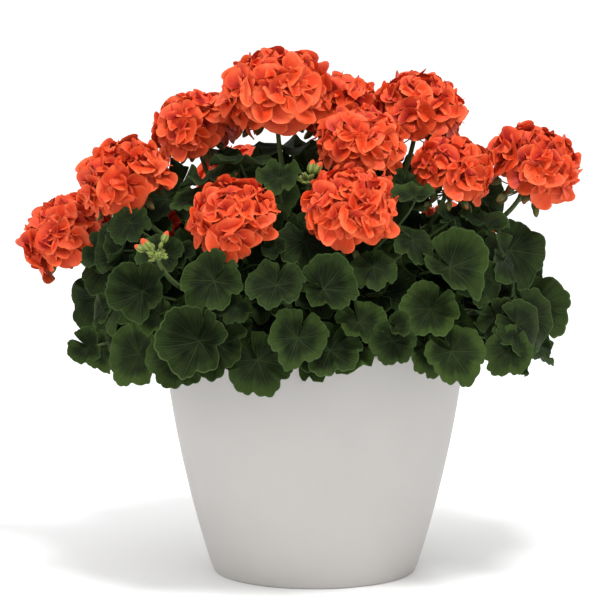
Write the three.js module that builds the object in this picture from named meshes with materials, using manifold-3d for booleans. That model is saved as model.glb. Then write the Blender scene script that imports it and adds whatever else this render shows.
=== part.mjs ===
// A zonal geranium in full flower, in a plain tapered planter. Millimetres, +Z up, the origin at the centre
// of the planter's base. The plant is a set of leafy shoots, each one solid, and a flower head on most of
// them.
import * as THREE from "three";
import { ConvexHull } from "three/addons/math/ConvexHull.js";
import { mergeVertices } from "three/addons/utils/BufferGeometryUtils.js";
import Module from "manifold-3d";

const wasm = await Module();
wasm.setup();

const DEGREE = Math.PI / 180;
const UP = new THREE.Vector3(0, 0, 1);
const GOLDEN_TURN = Math.PI * (3 - Math.sqrt(5));

// The planter: its outside is a curve through three radii, and a lip thickens its rim
const POT = { height: 244, baseRadius: 101, waistRadius: 140.6, rimRadius: 152, sides: 34 };
const POT_SHELL = { wall: 5, floor: 6 };
const POT_EDGE = { foot: 3, rim: 3, top: 2 };
const POT_LIP = { width: 9, depth: 10, slope: 8 };
const POT_RINGS = [60, 120, 180];
const DRAIN = { holes: 4, radius: 5, ring: 62, sides: 8 };

// The potting mix
const SOIL = { top: 218, middle: 100, crown: 5, gap: 0.3, side: 1.5, sides: 28 };
const ROOT = { depth: 32, slack: 0.4, holeAbove: 20 };

// Stems and stalks, by radius. Onward and below say how far a stalk's curve runs straight at its two ends.
const STEM = { radius: 5, tipRadius: 3.6, sides: 5, steps: 3, reach: 0.38, rise: 0.5, foot: 2 };
const STALK = { radius: 2.5, steps: 3, neck: 6, onward: 0.3, below: 0.35 };
const PEDICEL = { radius: 0.9, sides: 3, steps: 1, sag: 2 };
const BUD = { length: 11, radius: 3.4, sides: 4, front: 0.55, back: 0.45 };

// A petiole leaves the stem at a share of its length that rises with the blade, and bows behind the blade.
const PETIOLE = { radius: 1.6, sides: 3, steps: 2, shortest: 24, longest: 150, bow: 0.38, arch: 0.08 };
const LEAF_JOINT = { lowest: 0.3, highest: 0.97, first: 0.25, climb: 0.6, headroom: 60 };

// Buds round a shoot's end. Each pair is the least value and how much more it can be: the tilt from the
// shoot's axis in degrees, the reach (in shares of the head's radius where they hang below one) and the
// size.
const YOUNG_BUDS = { tilt: [18, 74], reach: [13, 9], size: [0.75, 0.5] };
const HANGING_BUDS = { tilt: [152, 8], reach: [0.62, 0.2], size: [0.95, 0.3] };

// A leaf blade: seven rounded lobes round a hub, where the petiole joins it. Lengths are shares of its
// radius, apart from the thickness and the hub's depth.
const BLADE = { lobes: 7, lobeTurn: 55, thickness: 0.9, hub: 2.4, tipReach: 1.12, sideFall: 0.3 };
const BLADE_FORM = { notch: 0.87, sinus: 0.18, sinusLift: 0.04, cup: 0.16, wave: 0.07, hubBack: 0.3 };

// A flower head: five-petalled florets side by side on a dome. Angles are seen from its centre, in degrees,
// and the levels are shares of its radius.
const HEAD = { florets: 11, petals: 5, openTo: 114, tipAngle: 24.5, notchAngle: 14.5 };
const HEAD_BACK = { undersideAngle: 146, undersideSides: 6, seatAngle: 171, seatSides: 3 };
const LEVEL = { tip: 0.98, notch: 0.92, middle: 0.8, saddle: 0.7, valley: 0.6, underside: 0.5, seat: 0.42 };

// The mound that the leaves cover
const MOUND = { centre: 250, across: 232, deep: 200, high: 178 };

// The leaves: how many grow, the room that is kept round each kind of piece, how far the last attempt to place
// a leaf may stray from its wanted pose, and the overlap that counts as none, in cubic millimetres
const FOLIAGE = { most: 89, tries: 40, shootsToTry: 3, seed: 11 };
const ROOM = { leaf: 0.7, stem: 0.8, head: 1.5 };
const STRAY = { shift: 46, turn: 1.1, shrink: 0.2 };
const LEAST_OVERLAP = 0.01;

// Shells of leaves that fill the mound behind those in front: how many, and how far outside the mound's
// surface. Pairs are the least value and how much more it can be.
const SHELLS = [
  { count: 70, out: 0 },
  { count: 50, out: -34 },
];
const SHELL_LEAF = { lowest: 1.22, yaw: 0.5, lift: [16, 20], radius: [35, 7], roll: 1.2 };

const LEAF_GREEN = new THREE.MeshStandardMaterial({ color: 0x2c5420, roughness: 0.6, metalness: 0 });
const PETAL_ORANGE = new THREE.MeshStandardMaterial({ color: 0xf2451c, roughness: 0.55, metalness: 0 });
const POT_WHITE = new THREE.MeshStandardMaterial({ color: 0xd2cfca, roughness: 0.5, metalness: 0 });
const MIX_BROWN = new THREE.MeshStandardMaterial({ color: 0x2e2118, roughness: 0.95, metalness: 0 });

// The plant is laid out as it is seen from the front: across and up are millimetres in that view, with the
// base's centre as zero, and depth is how far behind the planter's axis a thing stands.
const SEEN_FROM = 10.8 * DEGREE;

function seen(across, up, depth) {
  return new THREE.Vector3(across, depth, (up - depth * Math.sin(SEEN_FROM)) / Math.cos(SEEN_FROM));
}

// Each shoot: where its stem leaves the mix, and its flower head's centre as seen, with the head's radius
// and the number of buds that hang below it. A head of radius 0 is a cluster of young buds.
const SHOOTS = [
  { name: "top", base: [-14, 0], head: [-39, 474, 2], radius: 56, buds: 2 },
  { name: "upper_left", base: [-44, 22], head: [-119, 442, 52], radius: 45, buds: 3 },
  { name: "behind_top", base: [8, 46], head: [24, 462, 94], radius: 43, buds: 2 },
  { name: "centre_right", base: [20, -14], head: [45, 425, -48], radius: 46, buds: 2 },
  { name: "upper_right", base: [42, 20], head: [104, 459, 50], radius: 47, buds: 2 },
  { name: "mid_right", base: [56, -16], head: [136, 398, -36], radius: 42, buds: 5 },
  { name: "far_right", base: [84, 6], head: [219, 405, 14], radius: 48, buds: 6 },
  { name: "left", base: [-64, -8], head: [-189, 391, -14], radius: 47, buds: 3 },
  { name: "far_left", base: [-88, 14], head: [-249, 335, 44], radius: 47, buds: 3 },
  { name: "front_left", base: [-30, -46], head: [-81, 350, -128], radius: 46, buds: 2 },
  { name: "front_centre", base: [12, -58], head: [34, 360, -138], radius: 49, buds: 3 },
  { name: "young_left", base: [-60, -52], head: [-155, 311, -150], radius: 0, buds: 11 },
  { name: "young_centre", base: [-8, -30], head: [-6, 384, -84], radius: 0, buds: 5 },
  { name: "back_left", base: [-28, 62], head: [-78, 388, 152], radius: 45, buds: 2 },
  { name: "back_right", base: [34, 66], head: [58, 372, 176], radius: 45, buds: 2 },
  { name: "back_far_right", base: [70, 48], head: [140, 330, 136], radius: 44, buds: 3 },
  { name: "back_far_left", base: [-72, 52], head: [-152, 322, 122], radius: 44, buds: 2 },
];

// Leaves that show in front, as seen: across and up of the blade's middle, its radius, the way its tip
// points as a clock angle from straight down, how far it is turned to the right and lifted to the sky, and
// how far it stands out. The mound's own roundness gives part of the turn and the lift, and the two shares
// give the rest.
const FRONT_TURN = { yaw: 0.5, lift: 0.6 };
const FRONT_LEAVES = [
  [-107, 218, 38, 8, 4, 34, 14],
  [-135, 198, 36, -18, -8, 16, 4],
  [-176, 212, 36, -30, -16, 8, 2],
  [-161, 243, 25, -20, -6, 12, 6],
  [-100, 278, 33, -6, 6, 22, 6],
  [-168, 272, 36, -24, -12, 14, 2],
  [-219, 250, 20, -40, -40, 0, 6],
  [-223, 216, 25, -8, -58, -6, 4],
  [-203, 222, 20, -30, -30, 0, 0],
  [-55, 203, 35, 4, 14, 0, 6],
  [-38, 272, 31, -14, 22, 14, 8],
  [-17, 232, 34, 0, 0, 10, 8],
  [6, 273, 34, 18, 16, 20, 2],
  [-76, 256, 17, 0, 0, 40, 4],
  [8, 214, 37, 6, 0, 4, 2],
  [61, 298, 37, -4, 0, 26, 8],
  [78, 232, 31, 10, 26, 10, 8],
  [101, 321, 28, 24, 20, 30, 6],
  [138, 288, 37, 20, 8, 22, 8],
  [172, 290, 31, 30, 20, 18, 0],
  [197, 302, 34, 46, 34, 20, 0],
  [221, 242, 34, 30, 40, -6, 2],
  [196, 250, 31, 20, 20, -8, 0],
  [124, 205, 35, 2, 6, -4, 8],
  [188, 207, 33, 16, 12, 0, 4],
  [158, 221, 32, 8, -10, 4, 0],
  [166, 256, 30, 16, 4, 10, 2],
  [176, 341, 27, 50, 20, 34, 2],
  [114, 252, 33, 6, 0, 12, 0],
  [-64, 402, 34, -10, 0, 40, 4],
  [-109, 384, 31, -20, -8, 36, 2],
  [-136, 376, 27, -34, -12, 14, 6],
  [-24, 366, 27, 10, 4, 30, 2],
  [-201, 312, 28, -50, -20, 20, 4],
  [-164, 300, 30, -40, -12, 20, 0],
  [-50, 318, 34, -8, 0, 18, 0],
  [-112, 318, 33, -20, -8, 16, 0],
  [26, 322, 33, 0, 0, 18, 0],
  [146, 350, 27, 30, 12, 30, 0],
  [84, 362, 29, 14, 8, 34, 0],
  [42, 240, 31, 6, 10, 6, -4],
  [-76, 234, 27, -6, -4, 4, -6],
];

// A repeatable source of numbers from 0 to 1.
function seededDraw(seed) {
  let state = seed;
  return () => {
    state = (state + 0x6d2b79f5) | 0;
    let mixed = Math.imul(state ^ (state >>> 15), 1 | state);
    mixed = (mixed + Math.imul(mixed ^ (mixed >>> 7), 61 | mixed)) ^ mixed;
    return ((mixed ^ (mixed >>> 14)) >>> 0) / 4294967296;
  };
}

// A surface as a closed solid, which can be joined to others and cut.
function solidOf(geometry) {
  const bare = geometry.clone();
  bare.deleteAttribute("normal");
  bare.deleteAttribute("uv");
  const merged = mergeVertices(bare, 1e-4);
  return new wasm.Manifold(
    new wasm.Mesh({
      numProp: 3,
      vertProperties: merged.attributes.position.array,
      triVerts: new Uint32Array(merged.index.array),
    }),
  );
}

function geometryOf(solid) {
  const mesh = solid.getMesh();
  const geometry = new THREE.BufferGeometry();
  geometry.setAttribute("position", new THREE.BufferAttribute(new Float32Array(mesh.vertProperties), 3));
  geometry.setIndex(new THREE.BufferAttribute(new Uint32Array(mesh.triVerts), 1));
  geometry.computeVertexNormals();
  return geometry;
}

function facetedBody(points, faces) {
  const geometry = new THREE.BufferGeometry();
  const places = points.flatMap((point) => point.toArray());
  geometry.setAttribute("position", new THREE.Float32BufferAttribute(places, 3));
  geometry.setIndex(faces.flat());
  return solidOf(geometry);
}

function tube(curve, { radius, sides, steps }, spare = 0) {
  const points = curve.getPoints(steps);
  return loft(points, points.map(() => radius + spare), sides);
}

// Joins solids that run into each other. A cut can leave a scrap with no room inside, and only the body
// itself is kept.
function joined(solids) {
  const bodies = wasm.Manifold.union(solids).decompose();
  return bodies.reduce((best, body) => (body.volume() > best.volume() ? body : best));
}

// The planter: a turned shell with a lip at the rim and drainage holes in its floor.
function potOuterRadius(height) {
  const share = height / POT.height;
  const slack = 1 - share;
  return slack * slack * POT.baseRadius + 2 * slack * share * POT.waistRadius + share * share * POT.rimRadius;
}

function potProfile() {
  const lipBottom = POT.height - POT_LIP.depth;
  const lipRadius = POT.rimRadius - POT_LIP.width;
  const outsideAt = (z) => new THREE.Vector2(potOuterRadius(z), z);
  const insideAt = (z) => new THREE.Vector2(potOuterRadius(z) - POT_SHELL.wall, z);
  return [
    new THREE.Vector2(0, 0),
    new THREE.Vector2(POT.baseRadius - POT_EDGE.foot, 0),
    ...[POT_EDGE.foot, ...POT_RINGS].map(outsideAt),
    new THREE.Vector2(POT.rimRadius, POT.height - POT_EDGE.rim),
    new THREE.Vector2(POT.rimRadius - POT_EDGE.top, POT.height),
    new THREE.Vector2(lipRadius, POT.height),
    new THREE.Vector2(lipRadius, lipBottom),
    ...[lipBottom - POT_LIP.slope, POT_RINGS[1], POT_SHELL.floor].map(insideAt),
    new THREE.Vector2(0, POT_SHELL.floor),
  ];
}

function pot() {
  const shell = solidOf(turned(potProfile(), POT.sides));
  const holes = Array.from({ length: DRAIN.holes }, (_, i) => {
    const turn = (2 * Math.PI * (i + 0.5)) / DRAIN.holes;
    const hole = new THREE.CylinderGeometry(DRAIN.radius, DRAIN.radius, 4 * POT_SHELL.floor, DRAIN.sides);
    hole.rotateX(Math.PI / 2);
    hole.translate(DRAIN.ring * Math.cos(turn), DRAIN.ring * Math.sin(turn), 0);
    return solidOf(hole);
  });
  return shell.subtract(wasm.Manifold.union(holes));
}

// A lathe turns about +Y, so its body is tipped up to stand along +Z.
function turned(profile, sides) {
  const body = new THREE.LatheGeometry(profile, sides);
  body.rotateX(Math.PI / 2);
  return body;
}

// The potting mix: a plug with a low crown and a hole for each stem.
function mix() {
  const wallAt = (z) => potOuterRadius(z) - POT_SHELL.wall - SOIL.side;
  const profile = [
    new THREE.Vector2(0, POT_SHELL.floor + SOIL.gap),
    new THREE.Vector2(wallAt(POT_SHELL.floor), POT_SHELL.floor + SOIL.gap),
    new THREE.Vector2(wallAt(SOIL.middle), SOIL.middle),
    new THREE.Vector2(wallAt(SOIL.top), SOIL.top),
    new THREE.Vector2(0, SOIL.top + SOIL.crown),
  ];
  const holes = SHOOTS.map(({ base: [x, y] }) => {
    const bottom = new THREE.Vector3(x, y, SOIL.top - ROOT.depth - SOIL.gap);
    const radius = STEM.radius + ROOT.slack;
    return loft([bottom, bottom.clone().setZ(SOIL.top + ROOT.holeAbove)], [radius, radius], STEM.sides);
  });
  return solidOf(turned(profile, SOIL.sides)).subtract(wasm.Manifold.union(holes));
}

// A shoot's lines: the stem from the mix to its tip, and the stalk from there to the head's neck and seat.
function shootLines(shoot) {
  const base = new THREE.Vector3(shoot.base[0], shoot.base[1], SOIL.top + SOIL.crown + STEM.foot);
  const head = seen(...shoot.head);
  const tip = new THREE.Vector3(
    THREE.MathUtils.lerp(base.x, head.x, STEM.reach),
    THREE.MathUtils.lerp(base.y, head.y, STEM.reach),
    THREE.MathUtils.lerp(base.z, head.z, STEM.rise),
  );
  const axis = head.clone().sub(tip).normalize().add(UP).normalize();
  const seat = head.clone().addScaledVector(axis, -LEVEL.seat * shoot.radius - SOIL.gap);
  const lean = new THREE.Vector3(base.x, base.y, THREE.MathUtils.lerp(base.z, tip.z, 0.5));
  const stem = new THREE.QuadraticBezierCurve3(base, lean, tip);
  const span = seat.distanceTo(tip);
  const onward = tip.clone().addScaledVector(stem.getTangent(1), STALK.onward * span);
  const neck = seat.clone().addScaledVector(axis, -STALK.neck);
  const below = neck.clone().addScaledVector(axis, -STALK.below * span);
  const stalk = new THREE.CubicBezierCurve3(tip, onward, below, neck);
  return { base, head, tip, axis, neck, seat, stem, stalk };
}

// Rings of points round a line, each square to it. The first ring's side is carried along, so that they
// don't twist.
function ringsAlong(points, radii, sides) {
  const last = points.length - 1;
  const onward = points.map((_, i) => {
    return points[Math.min(i + 1, last)].clone().sub(points[Math.max(i - 1, 0)]).normalize();
  });
  let [side] = acrossAxes(onward[0]);
  return points.map((point, i) => {
    const along = onward[i];
    side = side.clone().addScaledVector(along, -along.dot(side)).normalize();
    const other = new THREE.Vector3().crossVectors(along, side);
    return Array.from({ length: sides }, (_, k) => {
      const turn = (2 * Math.PI * k) / sides;
      return point
        .clone()
        .addScaledVector(side, radii[i] * Math.cos(turn))
        .addScaledVector(other, radii[i] * Math.sin(turn));
    });
  });
}

// The faces between two rings that stand one behind the other in a list of points.
function bandFaces(first, sides) {
  return Array.from({ length: sides }, (_, k) => {
    const [a, b] = [first + k, first + ((k + 1) % sides)];
    return [
      [a, b, b + sides],
      [a, b + sides, a + sides],
    ];
  }).flat();
}

function capFaces(first, sides, facingOn) {
  return Array.from({ length: sides - 2 }, (_, k) =>
    facingOn ? [first, first + k + 1, first + k + 2] : [first, first + k + 2, first + k + 1],
  );
}

// A closed tube of changing width through a row of points.
function loft(points, radii, sides) {
  const last = points.length - 1;
  const faces = [...capFaces(0, sides, false), ...capFaces(last * sides, sides, true)];
  for (let i = 0; i < last; i += 1) faces.push(...bandFaces(i * sides, sides));
  return facetedBody(ringsAlong(points, radii, sides).flat(), faces);
}

// The stem's root stands straight in its hole, and the stem narrows into the flower stalk.
function stemAndStalk({ base, stem, stalk, seat }, spare = 0) {
  const root = base.clone().setZ(SOIL.top - ROOT.depth);
  const stemPoints = stem.getPoints(STEM.steps);
  const stalkPoints = [...stalk.getPoints(STALK.steps).slice(1), seat];
  const radii = [
    STEM.radius,
    ...stemPoints.map((_, i) => THREE.MathUtils.lerp(STEM.radius, STEM.tipRadius, i / STEM.steps)),
    ...stalkPoints.map(() => STALK.radius),
  ];
  return loft(
    [root, ...stemPoints, ...stalkPoints],
    radii.map((radius) => radius + spare),
    STEM.sides,
  );
}

// Two unit vectors across a direction.
function acrossAxes(direction) {
  const side = new THREE.Vector3(1, 0, 0).addScaledVector(direction, -direction.x).normalize();
  return [side, new THREE.Vector3().crossVectors(direction, side)];
}

// The direction that is tilted from an axis by one angle and turned round it by another.
function awayFrom(axis, tilt, turn) {
  const [side, other] = acrossAxes(axis);
  return axis
    .clone()
    .multiplyScalar(Math.cos(tilt))
    .addScaledVector(side, Math.sin(tilt) * Math.cos(turn))
    .addScaledVector(other, Math.sin(tilt) * Math.sin(turn));
}

// A bud: a spindle, with a root that its pedicel sinks into.
function bud(place, direction, size) {
  const [side, other] = acrossAxes(direction);
  const belly = Array.from({ length: BUD.sides }, (_, i) => {
    const turn = (2 * Math.PI * i) / BUD.sides;
    return place
      .clone()
      .addScaledVector(side, size * BUD.radius * Math.cos(turn))
      .addScaledVector(other, size * BUD.radius * Math.sin(turn));
  });
  const ends = [BUD.front, -BUD.back].map((share) =>
    place.clone().addScaledVector(direction, share * size * BUD.length),
  );
  const faces = belly.flatMap((_, i) => {
    const next = (i + 1) % BUD.sides;
    return [
      [i, next, BUD.sides],
      [next, i, BUD.sides + 1],
    ];
  });
  return facetedBody([...belly, ...ends], faces);
}

// Buds on their pedicels: below an open head they hang, and in a young cluster they stand up and out.
function budSpray(shoot, lines) {
  const draw = seededDraw(FOLIAGE.seed + shoot.name.length * 7 + shoot.buds);
  const within = ([least, more]) => least + more * draw();
  const young = shoot.radius === 0;
  const spray = young ? YOUNG_BUDS : HANGING_BUDS;
  const unit = young ? 1 : shoot.radius;
  const centre = young ? lines.seat : lines.head;
  const start = young ? lines.seat : lines.neck;
  return Array.from({ length: shoot.buds }, (_, i) => {
    const tilt = within(spray.tilt) * DEGREE;
    const direction = awayFrom(lines.axis, tilt, i * GOLDEN_TURN + draw());
    const place = centre.clone().addScaledVector(direction, unit * within(spray.reach));
    const size = within(spray.size);
    const bend = start.clone().lerp(place, 0.5).addScaledVector(UP, -PEDICEL.sag);
    const pedicel = new THREE.QuadraticBezierCurve3(start, bend, place);
    return joined([tube(pedicel, PEDICEL), bud(place, direction, size)]);
  });
}

// A flower head's florets sit on a dome round its centre, the topmost ones near its axis.
function floretDirections(axis) {
  const lowest = Math.cos(HEAD.openTo * DEGREE);
  return Array.from({ length: HEAD.florets }, (_, i) => {
    const height = 1 - ((i + 0.5) / HEAD.florets) * (1 - lowest);
    return awayFrom(axis, Math.acos(height), i * GOLDEN_TURN);
  });
}

// The faces of the hull round a set of directions, as indices, so that every direction is a corner.
function hullFaces(directions) {
  const hull = new ConvexHull().setFromPoints(directions);
  const places = new Map(directions.map((direction, i) => [direction, i]));
  return hull.faces.map((face) => {
    const corners = [face.edge, face.edge.next, face.edge.next.next];
    return corners.map((edge) => places.get(edge.head().point));
  });
}

function evenlyRound(axis, angle, count) {
  return Array.from({ length: count }, (_, k) => awayFrom(axis, angle * DEGREE, (2 * Math.PI * k) / count));
}

// A head is one closed skin round its centre: each floret is a star of petals that dips to its middle, with
// deep valleys where it meets its neighbours.
function flowerHead({ radius, name }, { head, axis }, spare = 0) {
  const draw = seededDraw(FOLIAGE.seed + name.length);
  const florets = floretDirections(axis);
  const underside = evenlyRound(axis, HEAD_BACK.undersideAngle, HEAD_BACK.undersideSides);
  const seat = evenlyRound(axis, HEAD_BACK.seatAngle, HEAD_BACK.seatSides);
  const seatLevel = LEVEL.seat / Math.cos((180 - HEAD_BACK.seatAngle) * DEGREE);
  const corners = [];
  const place = (direction, level) => corners.push({ direction, level });

  for (const floret of florets) {
    const spin = draw() * 2 * Math.PI;
    place(floret, LEVEL.middle);
    for (let petal = 0; petal < HEAD.petals; petal += 1) {
      const turn = spin + (2 * Math.PI * petal) / HEAD.petals;
      place(awayFrom(floret, HEAD.tipAngle * DEGREE, turn), LEVEL.tip);
      place(awayFrom(floret, HEAD.notchAngle * DEGREE, turn + Math.PI / HEAD.petals), LEVEL.notch);
    }
  }
  const dome = [...florets, ...underside];
  const isFloret = (i) => i < florets.length;
  for (const face of hullFaces(dome)) {
    if (!face.every(isFloret)) continue;
    const [a, b, c] = face.map((i) => dome[i]);
    place(a.clone().add(b).add(c).normalize(), LEVEL.valley);
    face.forEach((i, k) => {
      const j = face[(k + 1) % 3];
      if (i < j) place(dome[i].clone().add(dome[j]).normalize(), LEVEL.saddle);
    });
  }
  underside.forEach((direction) => place(direction, LEVEL.underside));
  seat.forEach((direction) => place(direction, seatLevel));

  const faces = hullFaces(corners.map(({ direction }) => direction));
  const points = corners.map(({ direction, level }) =>
    head.clone().addScaledVector(direction, level * radius + spare),
  );
  return facetedBody(points, faces);
}

// A leaf's pose: hub, face normal, the way its tip points, and its radius.
function bladeRing({ hub, normal, tip, radius }) {
  const side = new THREE.Vector3().crossVectors(normal, tip);
  const at = (turn, reach, lift) =>
    hub
      .clone()
      .addScaledVector(tip, reach * radius * Math.cos(turn))
      .addScaledVector(side, reach * radius * Math.sin(turn))
      .addScaledVector(normal, lift * radius);
  const ring = [at(Math.PI, BLADE_FORM.sinus, BLADE_FORM.sinusLift)];
  const half = (BLADE.lobes - 1) / 2;
  for (let lobe = -half; lobe <= half; lobe += 1) {
    const turn = lobe * BLADE.lobeTurn * DEGREE;
    const reach = BLADE.tipReach - BLADE.sideFall * Math.abs(turn / Math.PI);
    ring.push(at(turn, reach, BLADE_FORM.cup * reach));
    if (lobe < half) {
      const between = turn + (BLADE.lobeTurn / 2) * DEGREE;
      ring.push(at(between, reach * BLADE_FORM.notch, BLADE_FORM.cup + BLADE_FORM.wave));
    }
  }
  return ring;
}

// A leaf in one piece: the blade's face is a fan round its hub, and its back is the same fan round the
// petiole.
function leafSolid(pose, curve) {
  const ring = bladeRing(pose);
  const count = ring.length;
  const petiolePoints = curve.getPoints(PETIOLE.steps).reverse();
  const radii = petiolePoints.map(() => PETIOLE.radius);
  const petiole = ringsAlong(petiolePoints, radii, PETIOLE.sides);
  const back = ring.map((point) => point.clone().addScaledVector(pose.normal, -BLADE.thickness));
  const points = [...ring, pose.hub, ...back, ...petiole.flat()];
  const behind = count + 1;
  const collar = behind + count;
  const nearest = back.map((point) => {
    const outward = point.clone().sub(pose.hub);
    const gaps = petiole[0].map((corner) => corner.clone().sub(pose.hub).angleTo(outward));
    return collar + gaps.indexOf(Math.min(...gaps));
  });
  const faces = ring.flatMap((_, i) => {
    const next = (i + 1) % count;
    const around = [
      [i, next, count],
      [behind + next, behind + i, nearest[i]],
      [next, i, behind + i],
      [next, behind + i, behind + next],
    ];
    return nearest[i] === nearest[next] ? around : [...around, [behind + next, nearest[i], nearest[next]]];
  });
  for (let i = 0; i < PETIOLE.steps; i += 1) {
    faces.push(...bandFaces(collar + i * PETIOLE.sides, PETIOLE.sides));
  }
  faces.push(...capFaces(collar + PETIOLE.steps * PETIOLE.sides, PETIOLE.sides, true));
  return facetedBody(points, faces);
}

// The room that a blade needs, a little thicker than the blade.
function bladeRoom(pose, spare) {
  const ring = bladeRing(pose);
  const count = ring.length;
  const lifted = (point, by) => point.clone().addScaledVector(pose.normal, by);
  const points = [
    ...ring.map((point) => lifted(point, spare)),
    lifted(pose.hub, spare),
    ...ring.map((point) => lifted(point, -BLADE.thickness - spare)),
    lifted(pose.hub, -BLADE.hub - spare),
  ];
  const under = count + 1;
  const faces = ring.flatMap((_, i) => {
    const next = (i + 1) % count;
    return [
      [i, next, count],
      [under + next, under + i, under + count],
      [next, i, under + i],
      [next, under + i, under + next],
    ];
  });
  return facetedBody(points, faces);
}

// The petiole leaves the stem at a height that follows the blade's, and meets the hub from behind.
function petioleCurve({ hub, normal }, lines) {
  const { first, climb, headroom, lowest, highest } = LEAF_JOINT;
  const share = first + (climb * (hub.z - SOIL.top)) / (lines.tip.z - SOIL.top + headroom);
  const start = lines.stem.getPoint(THREE.MathUtils.clamp(share, lowest, highest));
  const end = hub.clone().addScaledVector(normal, -BLADE.hub);
  const reach = start.distanceTo(end);
  const bend = end
    .clone()
    .addScaledVector(normal, -PETIOLE.bow * reach)
    .addScaledVector(UP, PETIOLE.arch * reach);
  return new THREE.QuadraticBezierCurve3(start, bend, end);
}

// Where the line of sight through a point of the picture meets the mound, and the mound's outward normal
// there.
function onMound(across, up) {
  const { centre, across: a, deep: b, high: c } = MOUND;
  const rise = up / Math.cos(SEEN_FROM) - centre;
  const slope = -Math.tan(SEEN_FROM);
  const squared = 1 / (b * b) + (slope * slope) / (c * c);
  const linear = (2 * rise * slope) / (c * c);
  const constant = (across * across) / (a * a) + (rise * rise) / (c * c) - 1;
  const inside = linear * linear - 4 * squared * constant;
  const depth = inside > 0 ? (-linear - Math.sqrt(inside)) / (2 * squared) : -linear / (2 * squared);
  return seen(across, up, depth);
}

function moundNormal(place) {
  const { centre, across: a, deep: b, high: c } = MOUND;
  return new THREE.Vector3(place.x / (a * a), place.y / (b * b), (place.z - centre) / (c * c)).normalize();
}

// A pose from the blade's middle, its facing and the way its tip hangs, rolled by a clock angle.
function posed(middle, normal, radius, roll) {
  const down = UP.clone().multiplyScalar(-1).addScaledVector(normal, normal.z).normalize();
  const tip = down.applyAxisAngle(normal, roll);
  return { hub: middle.clone().addScaledVector(tip, -BLADE_FORM.hubBack * radius), normal, tip, radius };
}

function turnedNormal(normal, yaw, lift) {
  const level = new THREE.Vector3().crossVectors(normal, UP).normalize();
  return normal.clone().applyAxisAngle(UP, yaw).applyAxisAngle(level, lift).normalize();
}

// Every leaf that is wanted, best first: those that show in front, then shells of leaves round the whole
// mound.
function wantedLeaves() {
  const front = FRONT_LEAVES.map(([across, up, radius, roll, yaw, lift, out]) => {
    const place = onMound(across, up);
    const outward = moundNormal(place);
    const normal = turnedNormal(outward, yaw * FRONT_TURN.yaw * DEGREE, lift * FRONT_TURN.lift * DEGREE);
    return { middle: place.addScaledVector(outward, out), normal, radius, roll: roll * DEGREE };
  });
  return [...front, ...SHELLS.flatMap(shellLeaves)];
}

function shellLeaves({ count, out }) {
  const draw = seededDraw(FOLIAGE.seed + count);
  const within = ([least, more]) => least + more * draw();
  return Array.from({ length: count }, (_, i) => {
    const height = 1 - (SHELL_LEAF.lowest * (i + 0.5)) / count;
    const flat = Math.sqrt(1 - height * height);
    const turn = i * GOLDEN_TURN;
    const outward = new THREE.Vector3(flat * Math.cos(turn), flat * Math.sin(turn), height);
    const middle = new THREE.Vector3(
      (MOUND.across + out) * outward.x,
      (MOUND.deep + out) * outward.y,
      MOUND.centre + (MOUND.high + out) * outward.z,
    );
    const yaw = (draw() - 0.5) * SHELL_LEAF.yaw;
    const lift = within(SHELL_LEAF.lift) * flat * DEGREE;
    const normal = turnedNormal(moundNormal(middle), yaw, lift);
    return { middle, normal, radius: within(SHELL_LEAF.radius), roll: (draw() - 0.5) * SHELL_LEAF.roll };
  });
}

function boxesMeet(a, b) {
  return [0, 1, 2].every((k) => a.min[k] <= b.max[k] && b.min[k] <= a.max[k]);
}

function isClear(solid, others) {
  const box = solid.boundingBox();
  const overlap = (other) => (boxesMeet(box, other.box) ? solid.intersect(other.solid).volume() : 0);
  return others.every((other) => overlap(other) < LEAST_OVERLAP);
}

function obstacle(solid, shoot = null) {
  return { solid, box: solid.boundingBox(), shoot };
}

// A wanted leaf's pose, shifted, turned, shrunk and rolled by chance, and the looser it is the more.
function strayed({ middle, normal, radius, roll }, loose, draw) {
  const shift = new THREE.Vector3(draw() - 0.5, draw() - 0.5, draw() - 0.5);
  shift.multiplyScalar(STRAY.shift * loose);
  const yaw = (draw() - 0.5) * STRAY.turn * loose;
  const lift = (draw() - 0.5) * STRAY.turn * loose;
  return posed(
    middle.clone().add(shift),
    turnedNormal(normal, yaw, lift),
    radius * (1 - STRAY.shrink * loose),
    roll + (draw() - 0.5) * loose,
  );
}

// Grows the leaves one by one on the shoots. Each strays a little further from its wanted pose until it
// clears all that is there, and is left out where it can't.
function growLeaves(shoots, fixed) {
  const blades = [...fixed];
  const petioles = shoots.map((shoot) => obstacle(stemAndStalk(shoot.lines, ROOM.stem), shoot));
  const draw = seededDraw(FOLIAGE.seed);
  let grown = 0;
  for (const wanted of wantedLeaves()) {
    if (grown >= FOLIAGE.most) break;
    for (let attempt = 0; attempt < FOLIAGE.tries; attempt += 1) {
      const pose = strayed(wanted, attempt / FOLIAGE.tries, draw);
      const away = ({ lines }) => lines.tip.distanceTo(pose.hub);
      const nearest = shoots.slice().sort((a, b) => away(a) - away(b));
      const shoot = nearest[attempt % FOLIAGE.shootsToTry];
      const curve = petioleCurve(pose, shoot.lines);
      if (curve.getLength() > PETIOLE.longest || curve.getLength() < PETIOLE.shortest) continue;
      const blade = bladeRoom(pose, ROOM.leaf);
      const petiole = tube(curve, PETIOLE, ROOM.leaf / 2);
      const otherStems = petioles.filter((other) => other.shoot !== shoot);
      if (!isClear(blade, blades) || !isClear(blade, petioles)) continue;
      if (!isClear(petiole, blades) || !isClear(petiole, otherStems)) continue;
      blades.push(obstacle(blade));
      petioles.push(obstacle(petiole, shoot));
      shoot.leaves.push(leafSolid(pose, curve));
      grown += 1;
      break;
    }
  }
}

function named(name, solid, material) {
  const mesh = new THREE.Mesh(geometryOf(solid), material);
  mesh.name = name;
  return mesh;
}

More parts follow.
